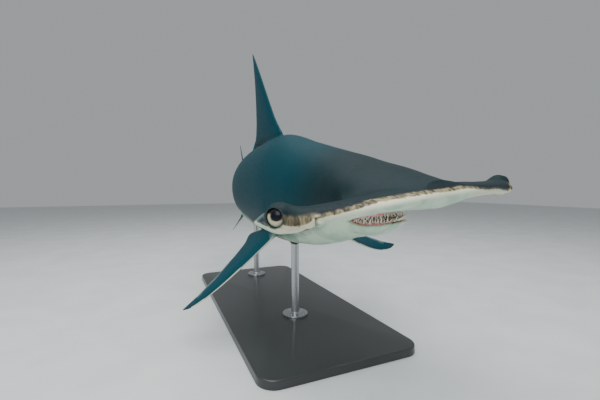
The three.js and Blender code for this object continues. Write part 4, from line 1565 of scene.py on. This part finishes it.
@dataclass(frozen=True)
class SkinFinish:
    """The shark's skin: dark above, pale below, with a mottled band along the head's leading edge."""

    head_top: tuple = srgb(15, 39, 43)
    head_patch: tuple = srgb(14, 36, 40)
    lobe: tuple = srgb(96, 122, 126)
    trunk_top: tuple = srgb(0, 56, 66)
    fin_top: tuple = srgb(0, 62, 74)
    edge_dark: tuple = srgb(18, 32, 40)
    tan: tuple = srgb(168, 154, 120)
    brown: tuple = srgb(74, 68, 54)
    cream: tuple = srgb(222, 222, 196)
    under: tuple = srgb(208, 230, 206)
    under_shade: tuple = srgb(178, 206, 184)
    fin_under: tuple = srgb(120, 150, 140)
    dusky: tuple = srgb(44, 50, 48)
    lid: tuple = srgb(58, 72, 74)
    flesh: tuple = srgb(236, 152, 156)
    flesh_pale: tuple = srgb(244, 214, 204)
    # Near-black painted shade inside the gill slits.
    hollow: tuple = srgb(10, 14, 16)
    spot: tuple = srgb(96, 122, 114)
    cloud_noise: tuple = (14, 4, 0.4)
    fine_noise: tuple = (90, 4)
    ragged: float = 7
    smoother_fins: float = 0.8
    cloudy_line: float = 1.4
    head_patches: tuple = (0.38, 0.62)
    trunk_from: tuple = (0.3, 0.62)
    fin_top_share: float = 0.8
    lobe_share: float = 0.8
    under_patches: tuple = (0.35, 0.65)
    spot_cells: float = 26
    spot_size: tuple = (0.12, 0.3)
    spot_noise: tuple = (9, 2)
    spot_groups: tuple = (0.5, 0.58)
    spot_share: float = 0.5
    fin_under_share: float = 0.7
    streak_stretch: tuple = (1, 1, 0.3)
    streak_noise: tuple = (70, 3, 0.5)
    streak_edges: tuple = (0.36, 0.66)
    dark_band: tuple = (-17, -6, 4)
    dark_share: float = 0.85
    cheek_share: float = 0.92
    mottled_band: tuple = (-7, 1, 2.2)
    # Less tan on the far wing is part of its painted light.
    mottled_near: float = 0.78
    mottled_far: float = 0.12
    far_painted_light_band: tuple = (1, 28, 8)
    far_painted_light_share: float = 0.6
    cream_band: tuple = (1, 10, 1.8)
    cream_share: float = 0.92
    cheek_cream_band: tuple = (-8, 3, 2.5)
    cheek_cream_share: float = 0.75
    dusky_from: tuple = (0.86, 1.0)
    dusky_share: float = 0.6
    flesh_patches: tuple = (0.4, 0.6)
    scale_cells: float = 700
    scale_height: float = 0.35
    pore_cells: float = 150
    pore_size: tuple = (0.06, 0.2)
    pore_height: float = 0.5
    wave_noise: tuple = (45, 5)
    wave_height: float = 0.8
    relief: float = 0.0016
    relief_strength: float = 0.5
    roughness: float = 0.5
    roughness_change: float = 0.24
    wetness: float = 0.3
    wet_coat: float = 0.4
    wet_coat_roughness: float = 0.2
    specular: float = 0.14

    def material(self) -> bpy.types.Material:
        """The finish as a material."""
        shader = Shader("shark skin")
        where = shader.read("straight", "Vector")
        cloud = shader.noise(where, *self.cloud_noise)
        fine = shader.noise(where, *self.fine_noise)
        edge = shader.read(Mark.EDGE.value)
        lining = shader.read(Mark.LINING.value)
        depth = shader.read(Mark.SHADE_LINE.value)
        width = shader.read(Mark.SHADE_WIDTH.value)
        even = 1 - shader.read(Mark.FIN.value) * self.smoother_fins
        depth = depth + (fine - 0.5) * self.ragged * even + (cloud - 0.5) * width * self.cloudy_line

        top, under = self.main_tones(shader, where, cloud)
        colour = shader.mixed(self.under_mask(shader, depth, width), top, under)
        colour = self.with_bands(shader, colour, where, depth, edge)
        flesh = shader.mixed(shader.step(*self.flesh_patches, fine), self.flesh, self.flesh_pale)
        dusky = shader.step(*self.dusky_from, shader.read(Mark.TIP.value)) * self.dusky_share
        layers = (
            (dusky, self.dusky),
            (shader.read(Mark.PALE.value), self.cream),
            (shader.read(Mark.RIM.value), self.lid),
            (lining, flesh),
            # Painted shade inside the gill slits.
            (shader.read(Mark.HOLLOW.value), self.hollow),
        )
        for factor, tint in layers:
            colour = shader.mixed(factor, colour, tint)

        scales = shader.cells(where, self.scale_cells) * self.scale_height
        pores = shader.step(*self.pore_size, shader.cells(where, self.pore_cells))
        waves = shader.noise(where, *self.wave_noise) * self.wave_height
        height = scales + pores * edge * self.pore_height + waves
        rough = self.roughness + (fine - 0.5) * self.roughness_change - lining * self.wetness
        inputs = {
            "Base Color": colour,
            "Roughness": rough,
            "Normal": shader.bump(height, self.relief, self.relief_strength),
            "Specular IOR Level": self.specular,
            "Coat Weight": lining * self.wet_coat,
            "Coat Roughness": self.wet_coat_roughness,
        }
        return shader.finished(inputs)

    def main_tones(self, shader: Shader, where: Link, cloud: Link) -> tuple[Link, Link]:
        """The dark tone of the back and the pale one of the belly."""
        fin = shader.read(Mark.FIN.value)
        along = shader.output("ShaderNodeSeparateXYZ", None, {0: where})
        top = shader.mixed(shader.step(*self.head_patches, cloud), self.head_patch, self.head_top)
        top = shader.mixed(shader.step(*self.trunk_from, along), top, self.trunk_top)
        top = shader.mixed(fin * self.fin_top_share, top, self.fin_top)
        top = shader.mixed(shader.read(Mark.LOBE.value) * self.lobe_share, top, self.lobe)
        under = shader.mixed(shader.step(*self.under_patches, cloud), self.under_shade, self.under)
        spots = 1 - shader.step(*self.spot_size, shader.cells(where, self.spot_cells))
        spots = spots * shader.step(*self.spot_groups, shader.noise(where, *self.spot_noise))
        under = shader.mixed(spots * shader.read(Mark.THROAT.value) * self.spot_share, under, self.spot)
        return top, shader.mixed(fin * self.fin_under_share, under, self.fin_under)

    def with_bands(self, shader: Shader, colour: Link, where: Link, depth: Link, edge: Link) -> Link:
        """Lay the bands along the head's leading edge, and the mottled cheeks, over a colour.

        Args:
            shader: The tree.
            colour: The colour under them.
            where: Places on the straight body.
            depth: Depth below the shade line.
            edge: Closeness to the leading edge.

        Returns:
            The colour with them.
        """
        near_side = shader.read(Mark.WARM.value)
        cheek = shader.read(Mark.CHEEK.value)
        streaks = shader.noise(shader.stretched(where, self.streak_stretch), *self.streak_noise)
        patchy = shader.mixed(shader.step(*self.streak_edges, streaks), self.brown, self.tan)
        mottled = near_side * self.mottled_near + self.mottled_far
        # Painted light: a wide cream band on the far wing's leading edge.
        far_painted_light = shader.band(*self.far_painted_light_band, depth) * edge * (1 - near_side) * self.far_painted_light_share
        layers = (
            (shader.band(*self.dark_band, depth) * edge * self.dark_share, self.edge_dark),
            (cheek * self.cheek_share, patchy),
            (shader.band(*self.mottled_band, depth) * edge * mottled, patchy),
            (far_painted_light, self.cream),
            (shader.band(*self.cream_band, depth) * edge * self.cream_share, self.cream),
            (shader.band(*self.cheek_cream_band, depth) * cheek * self.cheek_cream_share, self.cream),
        )
        for factor, tint in layers:
            colour = shader.mixed(factor, colour, tint)
        return colour

    def under_mask(self, shader: Shader, depth: Link, width: Link) -> Link:
        """0 on the dark side of the shade line and 1 on its pale side."""
        share = depth * shader.maths("DIVIDE", 0.5, width) + 0.5
        return shader.step(0, 1, share)


@dataclass(frozen=True)
class EyeFinish:
    """The eye: blue-black pupil, golden ring, and cream round it, darker above from painted lid shade over a
    darker iris. Angles are from the gaze.
    """

    pupil: tuple = srgb(8, 14, 24)
    ring: tuple = srgb(96, 84, 60)
    ring_low: tuple = srgb(198, 180, 144)
    white: tuple = srgb(190, 192, 164)
    # Top of the eye: painted shade of the upper lid over a darker iris.
    above: tuple = srgb(34, 38, 38)
    pupil_edge: float = math.radians(27.5)
    ring_edge: float = math.radians(34)
    blend: float = math.radians(1.6)
    streak_grain: float = 420
    streak_reach: float = 0.12
    lid_shade_and_dark_iris_rise: tuple = (0.2, 0.46)
    lower_part: tuple = (-0.1, -0.32)
    roughness: float = 0.35
    specular: float = 0.15
    coat: float = 0.14
    coat_roughness: float = 0.04

    def material(self) -> bpy.types.Material:
        """The finish as a material."""
        shader = Shader("shark eye")
        gaze = shader.read("gaze")
        rise = shader.read("rise")
        streaks = shader.noise(shader.output("ShaderNodeTexCoord", out="Object"), self.streak_grain)
        # Painted shade of the upper lid, over a darker iris, on the eye's top.
        upper = shader.step(*self.lid_shade_and_dark_iris_rise, rise)
        outer = shader.mixed(upper, self.white, self.above)
        ring = shader.mixed(shader.step(*self.lower_part, rise), self.ring, self.ring_low)
        ring = shader.mixed(upper, ring, self.above)
        ragged = gaze + (streaks - 0.5) * self.streak_reach
        beyond = shader.step(self.ring_edge - self.blend, self.ring_edge + self.blend * 2, ragged)
        colour = shader.mixed(beyond, ring, outer)
        inside = 1 - shader.step(self.pupil_edge - self.blend, self.pupil_edge + self.blend, gaze)
        inputs = {
            "Base Color": shader.mixed(inside, colour, self.pupil),
            "Roughness": self.roughness,
            "Specular IOR Level": self.specular,
            "Coat Weight": self.coat,
            "Coat Roughness": self.coat_roughness,
        }
        return shader.finished(inputs)


@dataclass(frozen=True)
class PlainFinish:
    """One colour, slightly cloudy, with a roughness and a fine grain."""

    name: str
    colour: tuple
    shade: tuple
    roughness: float
    metallic: float = 0
    coat: float = 0
    grain: float = 300
    relief: float = 0.0002
    patches: tuple = (0.35, 0.65)
    roughness_change: float = 0.16
    coat_roughness: float = 0.12

    def material(self) -> bpy.types.Material:
        """The finish as a material."""
        shader = Shader(self.name)
        where = shader.output("ShaderNodeTexCoord", out="Object")
        cloud = shader.noise(where, self.grain, 3)
        inputs = {
            "Base Color": shader.mixed(shader.step(*self.patches, cloud), self.shade, self.colour),
            "Roughness": self.roughness + (cloud - 0.5) * self.roughness_change,
            "Metallic": self.metallic,
            "Coat Weight": self.coat,
            "Coat Roughness": self.coat_roughness,
            "Normal": shader.bump(cloud, self.relief, 0.5),
        }
        return shader.finished(inputs)


TEETH = PlainFinish("shark teeth", srgb(240, 238, 226), srgb(220, 214, 194), 0.2, coat=0.6, grain=180)
GUMS = PlainFinish(
    "shark gums", srgb(240, 176, 176), srgb(212, 118, 126), 0.35, coat=0.4, grain=160, relief=0.0012
)
LACQUER = PlainFinish("stand lacquer", srgb(50, 52, 54), srgb(44, 46, 48), 0.38, coat=0.2, grain=600)
STEEL = PlainFinish("stand steel", srgb(190, 192, 194), srgb(170, 172, 175), 0.3, metallic=1, grain=500)
PALE_FLOOR = PlainFinish(
    "studio floor", srgb(214, 218, 219), srgb(208, 212, 213), 0.7, grain=4, relief=0.0001
)


# Repeated small forms


@dataclass(frozen=True)
class Repeater:
    """Copies of one small form on points, made by Geometry Nodes and kept as a plain mesh."""

    form: Shell
    material: bpy.types.Material
    length: float
    width: float
    thickness: float
    variation: float = 0

    def tree(self) -> bpy.types.NodeTree:
        """Build the node tree, with every size as a named input."""
        tree = bpy.data.node_groups.new("copies on points", "GeometryNodeTree")
        kinds = {"Points": "Geometry", "Form": "Object", "Finish": "Material"}
        kinds |= {name: "Float" for name in ("Length", "Width", "Thickness", "Variation")}
        for name, kind in kinds.items():
            tree.interface.new_socket(name, in_out="INPUT", socket_type=f"NodeSocket{kind}")
        tree.interface.new_socket("Seed", in_out="INPUT", socket_type="NodeSocketInt")
        tree.interface.new_socket("Copies", in_out="OUTPUT", socket_type="NodeSocketGeometry")
        graph = Graph(tree)
        given = {socket.name: Link(graph, socket) for socket in graph.node("NodeGroupInput").outputs}
        point_way = self.named(graph, "point_way", "FLOAT_VECTOR")
        face_way = self.named(graph, "face_way", "FLOAT_VECTOR")
        size = self.named(graph, "size", "FLOAT")
        axes = {"primary_axis": "Z", "secondary_axis": "Y"}
        turn = graph.output("FunctionNodeAxesToRotation", axes, {0: point_way, 1: face_way})
        low = 1 - given["Variation"]
        high = 1 + given["Variation"]
        random = {2: low, 3: high, "Seed": given["Seed"]}
        spread = size * graph.output("FunctionNodeRandomValue", {"data_type": "FLOAT"}, random, 1)
        sizes = {0: given["Width"] * spread, 1: given["Thickness"] * spread, 2: given["Length"] * spread}
        scale = graph.output("ShaderNodeCombineXYZ", None, sizes)
        form = graph.output("GeometryNodeObjectInfo", None, {"Object": given["Form"]}, "Geometry")
        placed = {"Points": given["Points"], "Instance": form, "Rotation": turn, "Scale": scale}
        copies = graph.output("GeometryNodeInstanceOnPoints", None, placed)
        whole = graph.output("GeometryNodeRealizeInstances", None, {"Geometry": copies})
        finish = {"Geometry": whole, "Material": given["Finish"]}
        finished = graph.output("GeometryNodeSetMaterial", None, finish)
        graph.node("NodeGroupOutput", None, {"Copies": finished})
        return tree

    def named(self, graph: Graph, name: str, kind: str) -> Link:
        """An attribute of the points, by name."""
        settings = {"data_type": kind}
        return graph.output("GeometryNodeInputNamedAttribute", settings, {"Name": name}, "Attribute")

    def build(self, name: str, points: Array, ways: Array, faces: Array, sizes: Array) -> bpy.types.Object:
        """Place the copies.

        Args:
            name: The piece's name.
            points: Where each copy stands, in metres.
            ways: The way each copy points.
            faces: The way each copy's back faces.
            sizes: A factor on each copy's size.

        Returns:
            One plain mesh of all copies.
        """
        form = self.form.to_object(f"{name}_form")
        piece = Shell(points, np.empty((0, 4), int)).to_object(name)
        given = {"point_way": ways, "face_way": faces, "size": sizes}
        for key, values in given.items():
            mark_points(piece, key, values)
        copies = piece.modifiers.new("copies", "NODES")
        copies.node_group = self.tree()
        chosen = {
            "Form": form,
            "Finish": self.material,
            "Length": self.length,
            "Width": self.width,
            "Thickness": self.thickness,
            "Variation": self.variation,
            "Seed": SEED,
        }
        for item in copies.node_group.interface.items_tree:
            if item.name in chosen:
                copies[item.identifier] = chosen[item.name]
        graph = bpy.context.evaluated_depsgraph_get()
        plain = bpy.data.meshes.new_from_object(piece.evaluated_get(graph))
        piece.modifiers.clear()
        piece.data = plain
        bpy.data.objects.remove(form)
        for key in given:
            if key in plain.attributes:
                plain.attributes.remove(plain.attributes[key])
        LOG.info("%s: %d faces", name, len(plain.polygons))
        return piece


# Mouth


@dataclass(frozen=True)
class ToothForm:
    """A narrow, slightly bent blade, one long, with its root below zero."""

    root: float = -0.3
    around: int = 10
    steps: int = 9
    taper: float = 0.75
    tip: float = 0.02
    swell: float = 0.25
    swell_at: float = 0.05
    swell_width: float = 0.12
    lean: float = 0.22
    thinning: float = 0.85
    bow: float = 0.9

    def shell(self) -> Shell:
        """The blade as a closed tube."""
        share = np.linspace(self.root, 1, self.steps)[:, None]
        grown = np.clip(share, 0, 1)
        half = 0.5 * (1 - grown) ** self.taper + self.tip
        half = half * (1 + self.swell * np.exp(-(((share - self.swell_at) / self.swell_width) ** 2)))
        angles = even_angles(self.around)[None, :]
        x = half * np.cos(angles) + self.lean * grown**2
        y = 0.5 * (1 - self.thinning * grown) * np.sin(angles) - self.bow * grown * (1 - grown)
        return Shell.tube(np.stack([x, y, share + 0 * angles], -1))


@dataclass(frozen=True)
class Mouth:
    """Both gum ridges and the rows of teeth that grow from them."""

    line: SwimLine
    jaw: LowerJaw
    corner: float = 284
    front: float = 178
    inset: float = 8
    spacing: float = 8.4
    rows: int = 4
    row_step: float = 8
    gum_radius: float = 12
    gum_rise: float = 1.2
    gum_root: float = 0.3
    gum_spread: float = 1.9
    gum_around: int = 14
    gum_inset: float = 22
    gum_step: float = 5
    gum_sink: float = 1.5
    gum_ends: float = 0.6
    gum_front: float = 0.42
    gum_front_width: float = 0.2
    front_width: float = 20
    tooth_length: float = 0.019
    tooth_width: float = 0.0066
    tooth_thickness: float = 0.0036
    corner_size: float = 0.55
    front_size: float = 1.05
    row_shrink: float = 0.08
    lean: float = 0.3
    front_lean: tuple = (0.1, 0.42)
    random_lean: float = 0.4
    random_tilt: float = 0.42
    random_place: float = 1.6
    tooth_rise: float = 0.45
    row_rise: float = 0.8
    variation: float = 0.3

    def arch(self, inset: float, spacing: float) -> Array:
        """Places along the jaw from one corner to the other.

        Args:
            inset: How far inside the jaw's edge.
            spacing: Distance between places.

        Returns:
            Rows of s and u.
        """
        s = np.linspace(self.corner, self.front + 1.25 * inset, 120)
        u = np.maximum(self.jaw.half(s - inset * 0.6) - inset, 0)
        half = np.stack([s, u], 1)
        whole = np.vstack([half, half[::-1] * [1, -1]])
        steps = np.linalg.norm(np.diff(whole, axis=0), axis=1)
        along = np.concatenate([[0], np.cumsum(steps)])
        places = np.linspace(0, along[-1], int(along[-1] / spacing) + 1)
        return np.stack([np.interp(places, along, whole[:, i]) for i in range(2)], 1)

    def height(self, s: Array, way: int) -> Array:
        """Height of the lower (way 1) or upper (way -1) gum."""
        return self.jaw.rim_height(s) if way > 0 else self.jaw.palate_height(s)

    def outward(self, path: Array) -> Array:
        """Level unit vectors that point out of the mouth along a path of s and u."""
        along = np.gradient(path, axis=0)
        out = np.stack([along[:, 1], -along[:, 0]], 1)
        return out / np.maximum(np.linalg.norm(out, axis=1, keepdims=True), 1e-9)

    def gum(self, way: int, material: bpy.types.Material) -> bpy.types.Object:
        """One gum ridge, way 1 for the lower jaw and -1 for the upper one."""
        path = self.arch(self.gum_inset, self.gum_step)
        out = self.outward(path)
        out = np.where((out[:, :1] > 0) & (np.abs(path[:, 1:]) < self.front_width), -out, out)
        angles = even_angles(self.gum_around)
        share = np.linspace(-1, 1, len(path))[:, None]
        radius = self.gum_radius * (1 - self.gum_ends * np.abs(share) ** 4)
        radius = radius * (1 - self.gum_front * np.exp(-((share / self.gum_front_width) ** 2)))
        across = self.gum_spread * radius * np.cos(angles)
        rise = np.sin(angles)
        rise = self.gum_rise * radius * np.where(rise * way > 0, rise, self.gum_root * rise)
        s = path[:, :1] + out[:, :1] * across
        u = path[:, 1:] + out[:, 1:] * across
        v = self.height(path[:, 0], way)[:, None] + rise - way * self.gum_sink
        rings = np.stack([s, u, v], -1)
        tube = Shell.tube(rings)
        name = "gum_lower" if way > 0 else "gum_upper"
        piece = Shell(self.line.place(tube.points), tube.faces).to_object(name)
        piece.data.materials.append(material)
        LOG.info("%s: %d faces", name, len(tube.faces))
        return piece

    def teeth(self, way: int, material: bpy.types.Material) -> bpy.types.Object:
        """All rows of one jaw's teeth, way 1 for the lower jaw and -1 for the upper one."""
        random = np.random.default_rng(SEED + way)
        places, ways, backs, sizes = [], [], [], []
        for row in range(self.rows):
            path = self.arch(self.inset + row * self.row_step, self.spacing)
            out = self.outward(path)
            swing = np.abs(np.linspace(-1, 1, len(path)))
            shuffle = random.uniform(-1, 1, (len(path), 3))
            lean = self.lean - self.lean * row + (1 - step_between(*self.front_lean, swing))
            lean = lean + self.random_lean * shuffle[:, 0]
            rise = np.full(len(path), float(way))
            tilt = np.stack([out[:, 0] * lean, out[:, 1] * lean, rise], 1)
            tilt[:, :2] += self.random_tilt * shuffle[:, 1:]
            over = self.gum_radius * self.tooth_rise + row * self.row_rise
            base = self.height(path[:, 0], way) + way * over
            path = path + self.random_place * shuffle[:, :2]
            points = np.column_stack([path, base])
            places.append(self.line.place(points))
            ways.append(self.line.direction(path[:, 0], tilt))
            backs.append(self.line.direction(path[:, 0], np.column_stack([-out, np.zeros(len(path))])))
            size = self.front_size - (self.front_size - self.corner_size) * swing**1.5
            sizes.append(size * (1 - self.row_shrink * row))
        measures = (self.tooth_length, self.tooth_width, self.tooth_thickness, self.variation)
        repeater = Repeater(ToothForm().shell(), material, *measures)
        name = "teeth_lower" if way > 0 else "teeth_upper"
        rows = (np.vstack(part) for part in (places, ways, backs))
        return repeater.build(name, *rows, np.concatenate(sizes))


# Eyes


@dataclass(frozen=True)
class Eye:
    """An eyeball, drawn in rings round its gaze."""

    line: SwimLine
    seat: EyeSeat
    radius: float = 24.6
    gaze: tuple = (-0.70, 0.667, 0.21)
    rings: int = 60
    around: int = 72
    pole: float = 0.02

    def build(self, material: bpy.types.Material) -> bpy.types.Object:
        """Make the eyeball, with each point's angle from the gaze and its height."""
        ahead = np.array(self.gaze) * [1, self.seat.side, 1]
        ahead = ahead / np.linalg.norm(ahead)
        side = np.cross(ahead, [0, 0, 1])
        side = side / np.linalg.norm(side)
        up = np.cross(side, ahead)
        angle = np.linspace(self.pole, np.pi - self.pole, self.rings)[:, None, None]
        turn = even_angles(self.around)[None, :, None]
        ball = ahead * np.cos(angle) + (side * np.cos(turn) + up * np.sin(turn)) * np.sin(angle)
        shell = Shell.tube(ball * self.radius)
        unit = shell.points / np.linalg.norm(shell.points, axis=1, keepdims=True)
        name = "eyeball_left" if self.seat.side > 0 else "eyeball_right"
        piece = Shell(self.line.place(shell.points + self.seat.centre), shell.faces).to_object(name)
        mark_points(piece, "gaze", np.arccos(np.clip(unit @ ahead, -1, 1)))
        mark_points(piece, "rise", unit[:, 2])
        piece.data.materials.append(material)
        LOG.info("%s: %d faces", name, len(shell.faces))
        return piece


# Stand


@dataclass(frozen=True)
class Stand:
    """A lacquered base plate and two steel rods, each with a flange, screws and a saddle."""

    line: SwimLine
    trunk: Trunk
    length: float = 1500
    width: float = 660
    thickness: float = 32
    corner: float = 70
    chamfer: float = 5
    stations: tuple = (("front", 900), ("rear", 1720))
    rod_radius: float = 19
    flange_radius: float = 62
    flange_thickness: float = 10
    saddle_radius: float = 46
    saddle_depth: float = 34
    saddle_lip: float = 8
    gap: float = 0.3
    around: int = 96
    screws: int = 4
    screw_circle: float = 44
    screw_width: float = 0.013
    screw_height: float = 0.0065
    screw_around: int = 36
    screw_profile: tuple = ((0.5, 0.0), (0.5, 0.55), (0.47, 0.8), (0.4, 0.95), (0.33, 1.0))
    recess: float = 0.24
    recess_floor: float = 0.45
    corner_steps: int = 12
    chamfer_steps: int = 6
    rounding: float = 2
    weld: float = 6
    rounding_steps: int = 5
    flare_steps: int = 7
    flare_power: float = 1.6
    sharp: float = math.radians(32)

    def plate(self, material: bpy.types.Material) -> bpy.types.Object:
        """The base plate, with rounded corners and a rounded top edge."""
        turn = np.linspace(0, 1, self.corner_steps)[None, :]
        angles = (np.arange(4)[:, None] - 2 + turn) * np.pi / 2
        signs = np.array([[-1, -1], [1, -1], [1, 1], [-1, 1]])
        middles = signs * [self.width / 2 - self.corner, self.length / 2 - self.corner]
        turns = np.linspace(0, np.pi / 2, self.chamfer_steps)
        heights = self.thickness - self.chamfer * (1 - np.sin(turns))
        rings = []
        for inset, z in [(0, 0), *zip(self.chamfer * (1 - np.cos(turns)), heights)]:
            reach = self.corner - inset
            x = middles[:, None, 0] + reach * np.cos(angles)
            y = middles[:, None, 1] + reach * np.sin(angles)
            rings.append(np.stack([x.ravel(), y.ravel(), np.full(x.size, z)], -1))
        tube = Shell.tube(np.array(rings)).in_metres()
        return self.flat_shaded(tube, "stand_plate", material)

    def flat_shaded(self, shell: Shell, name: str, material: bpy.types.Material) -> bpy.types.Object:
        """A piece whose sharp corners stay sharp."""
        piece = shell.to_object(name)
        piece.data.set_sharp_from_angle(angle=self.sharp)
        piece.data.materials.append(material)
        LOG.info("%s: %d faces", name, len(shell.faces))
        return piece

    def rod_foot(self, station: float) -> Array:
        """Where a rod meets the belly, in millimetres."""
        bottom = self.trunk.shape(np.array([station], float))[1]
        return self.line.place(np.array([[station, 0, float(bottom[0])]]))[0] / MM

    def rod(self, word: str, station: float, material: bpy.types.Material) -> bpy.types.Object:
        """One rod with its flange and saddle, turned round its own axis."""
        x, y, belly = self.rod_foot(station)
        foot = self.thickness + self.gap
        flange_top = foot + self.flange_thickness
        turns = np.linspace(0, np.pi / 2, self.rounding_steps)
        fall, inset = 1 - np.sin(turns), 1 - np.cos(turns)
        edge = zip(self.flange_radius - self.rounding * inset, flange_top - self.rounding * fall)
        weld = zip(self.rod_radius + self.weld * fall, flange_top + self.weld * inset)
        share = np.linspace(0, 1, self.flare_steps)
        flare = zip(
            self.rod_radius + (self.saddle_radius - self.rod_radius) * share**self.flare_power,
            belly - self.saddle_depth + (self.saddle_depth - self.saddle_lip) * share,
        )
        crown = belly + self.saddle_depth
        top = [(self.saddle_radius, crown - self.rounding), (self.rounding, crown - 1)]
        profile = [(self.flange_radius, foot), *edge, *weld, *flare, *top]
        angles = even_angles(self.around)
        rings = [[(x + r * math.cos(a), y + r * math.sin(a), z) for a in angles] for r, z in profile]
        tube = Shell.tube(np.array(rings)).in_metres()
        return self.flat_shaded(tube, f"stand_rod_{word}_turned", material)

    def screw_form(self) -> Shell:
        """A round head with a six-sided recess, one wide and one high."""
        angles = even_angles(self.screw_around)
        hexagon = self.recess / np.cos((angles + np.pi / 6) % (np.pi / 3) - np.pi / 6)
        profile = [*self.screw_profile, (hexagon, 1.0), (hexagon, self.recess_floor)]
        rings = [np.stack([r * np.cos(angles), r * np.sin(angles), 0 * angles + z], -1) for r, z in profile]
        return Shell.tube(np.array(rings))

    def all_screws(self, material: bpy.types.Material) -> bpy.types.Object:
        """The screws of both flanges."""
        places = []
        for _, station in self.stations:
            x, y, _ = self.rod_foot(station)
            for turn in (np.arange(self.screws) + 0.5) * 2 * np.pi / self.screws:
                reach = self.screw_circle
                top = self.thickness + self.gap + self.flange_thickness
                places.append((x + reach * math.cos(turn), y + reach * math.sin(turn), top))
        count = len(places)
        measures = (self.screw_height, self.screw_width, self.screw_width)
        repeater = Repeater(self.screw_form(), material, *measures)
        up = np.tile([0.0, 0.0, 1.0], (count, 1))
        back = np.tile([0.0, 1.0, 0.0], (count, 1))
        piece = repeater.build("stand_screws", np.array(places) * MM, up, back, np.ones(count))
        piece.data.set_sharp_from_angle(angle=self.sharp)
        return piece


# Studio


@dataclass(frozen=True)
class Studio:
    """A pale floor, soft light from above and in front, and the camera that matches the photo."""

    floor_size: float = 24
    floor_height: float = -0.0005
    lights: tuple = (
        ("overhead light", (-0.3, -0.4, 4.2), 4.5, 210),
        ("front light", (-2.4, -3.6, 3.2), 2.6, 120),
    )
    lights_aim: tuple = (0, 0.2, 0.5)
    sky: tuple = (0.86, 0.9, 0.92, 1)
    sky_strength: float = 0.42
    camera_at: tuple = (-0.630, -1.744, 0.656)
    camera_down: float = math.radians(2.18)
    camera_turn: float = math.radians(23.53)
    focal_pixels: float = 334.07
    sensor: float = 36

    def floor(self) -> None:
        """Lay the floor just under the stand."""
        half = self.floor_size / 2
        corners = np.array([(-half, -half), (half, -half), (half, half), (-half, half)])
        points = np.column_stack([corners, np.full(4, self.floor_height)])
        piece = Shell(points, np.array([[0, 1, 2, 3]])).to_object("studio_floor")
        piece.data.materials.append(PALE_FLOOR.material())

    def light(self, name: str, at: tuple, size: float, power: float) -> None:
        """Hang a square soft light that points at the model's middle."""
        lamp = bpy.data.lights.new(name, "AREA")
        lamp.size = size
        lamp.energy = power
        hung = bpy.data.objects.new(name, lamp)
        hung.location = at
        way = Vector(self.lights_aim) - Vector(at)
        hung.rotation_euler = way.to_track_quat("-Z", "Y").to_euler()
        bpy.context.scene.collection.objects.link(hung)

    def world(self) -> None:
        """Give the room an even pale glow."""
        world = bpy.data.worlds.new("studio")
        world.use_nodes = True
        bpy.context.scene.world = world
        glow = world.node_tree.nodes["Background"]
        glow.inputs["Color"].default_value = self.sky
        glow.inputs["Strength"].default_value = self.sky_strength

    def camera(self) -> None:
        """Place the camera as the photo's was."""
        lens = bpy.data.cameras.new("photo camera")
        lens.sensor_width = self.sensor
        lens.lens = self.focal_pixels / IMAGE_WIDTH * self.sensor
        placed = bpy.data.objects.new("photo camera", lens)
        placed.location = self.camera_at
        placed.rotation_euler = (math.pi / 2 - self.camera_down, 0, -self.camera_turn)
        bpy.context.scene.collection.objects.link(placed)
        bpy.context.scene.camera = placed

    def build(self) -> None:
        """Set up floor, lights, world and camera."""
        self.floor()
        for light in self.lights:
            self.light(*light)
        self.world()
        self.camera()


FLESH_NODES = (
    "head",
    "head_wing_left",
    "head_wing_right",
    "lower_jaw",
    "neck",
    "torso",
    "tail_stock",
    "caudal_fin_upper",
    "caudal_fin_lower",
    "dorsal_fin_first",
    "dorsal_fin_second",
    "anal_fin",
    "pectoral_fin_left",
    "pectoral_fin_right",
    "pelvic_fin_left",
    "pelvic_fin_right",
)


def show(piece: bpy.types.Object, slot: str, *nodes: str) -> None:
    """Fix a finished piece to the model.

    Args:
        piece: The piece.
        slot: Its material slot in the record; not used.
        nodes: The solids that it stands for.
    """
    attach(piece, BODY)
    if nodes:
        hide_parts(*nodes)


def main() -> None:
    """Build every piece in order."""
    logging.basicConfig(level=logging.INFO, format="%(message)s")
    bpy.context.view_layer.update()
    line = SwimLine()
    trunk = Trunk()
    jaw = LowerJaw()
    seats = (EyeSeat(1), EyeSeat(-1))
    head = HeadForm(trunk, HeadBlade(), jaw, Nostril(), seats)
    skin = SharkSkin(line, head, GillSlits(), all_fins())
    show(skin.build(SkinFinish().material()), "skin", *FLESH_NODES)

    eye_material = EyeFinish().material()
    for seat, node in zip(seats, ("eye_left", "eye_right")):
        show(Eye(line, seat).build(eye_material), "eye", node)

    mouth = Mouth(line, jaw)
    gum_material = GUMS.material()
    teeth_material = TEETH.material()
    for way in (1, -1):
        show(mouth.gum(way, gum_material), "gums")
        show(mouth.teeth(way, teeth_material), "teeth")

    stand = Stand(line, trunk)
    steel = STEEL.material()
    show(stand.plate(LACQUER.material()), "stand_lacquer", "stand_base")
    for word, station in stand.stations:
        show(stand.rod(word, station, steel), "stand_steel", f"stand_rod_{word}")
    show(stand.all_screws(steel), "stand_steel")

    Studio().build()


if __name__ == "__main__":
    main()
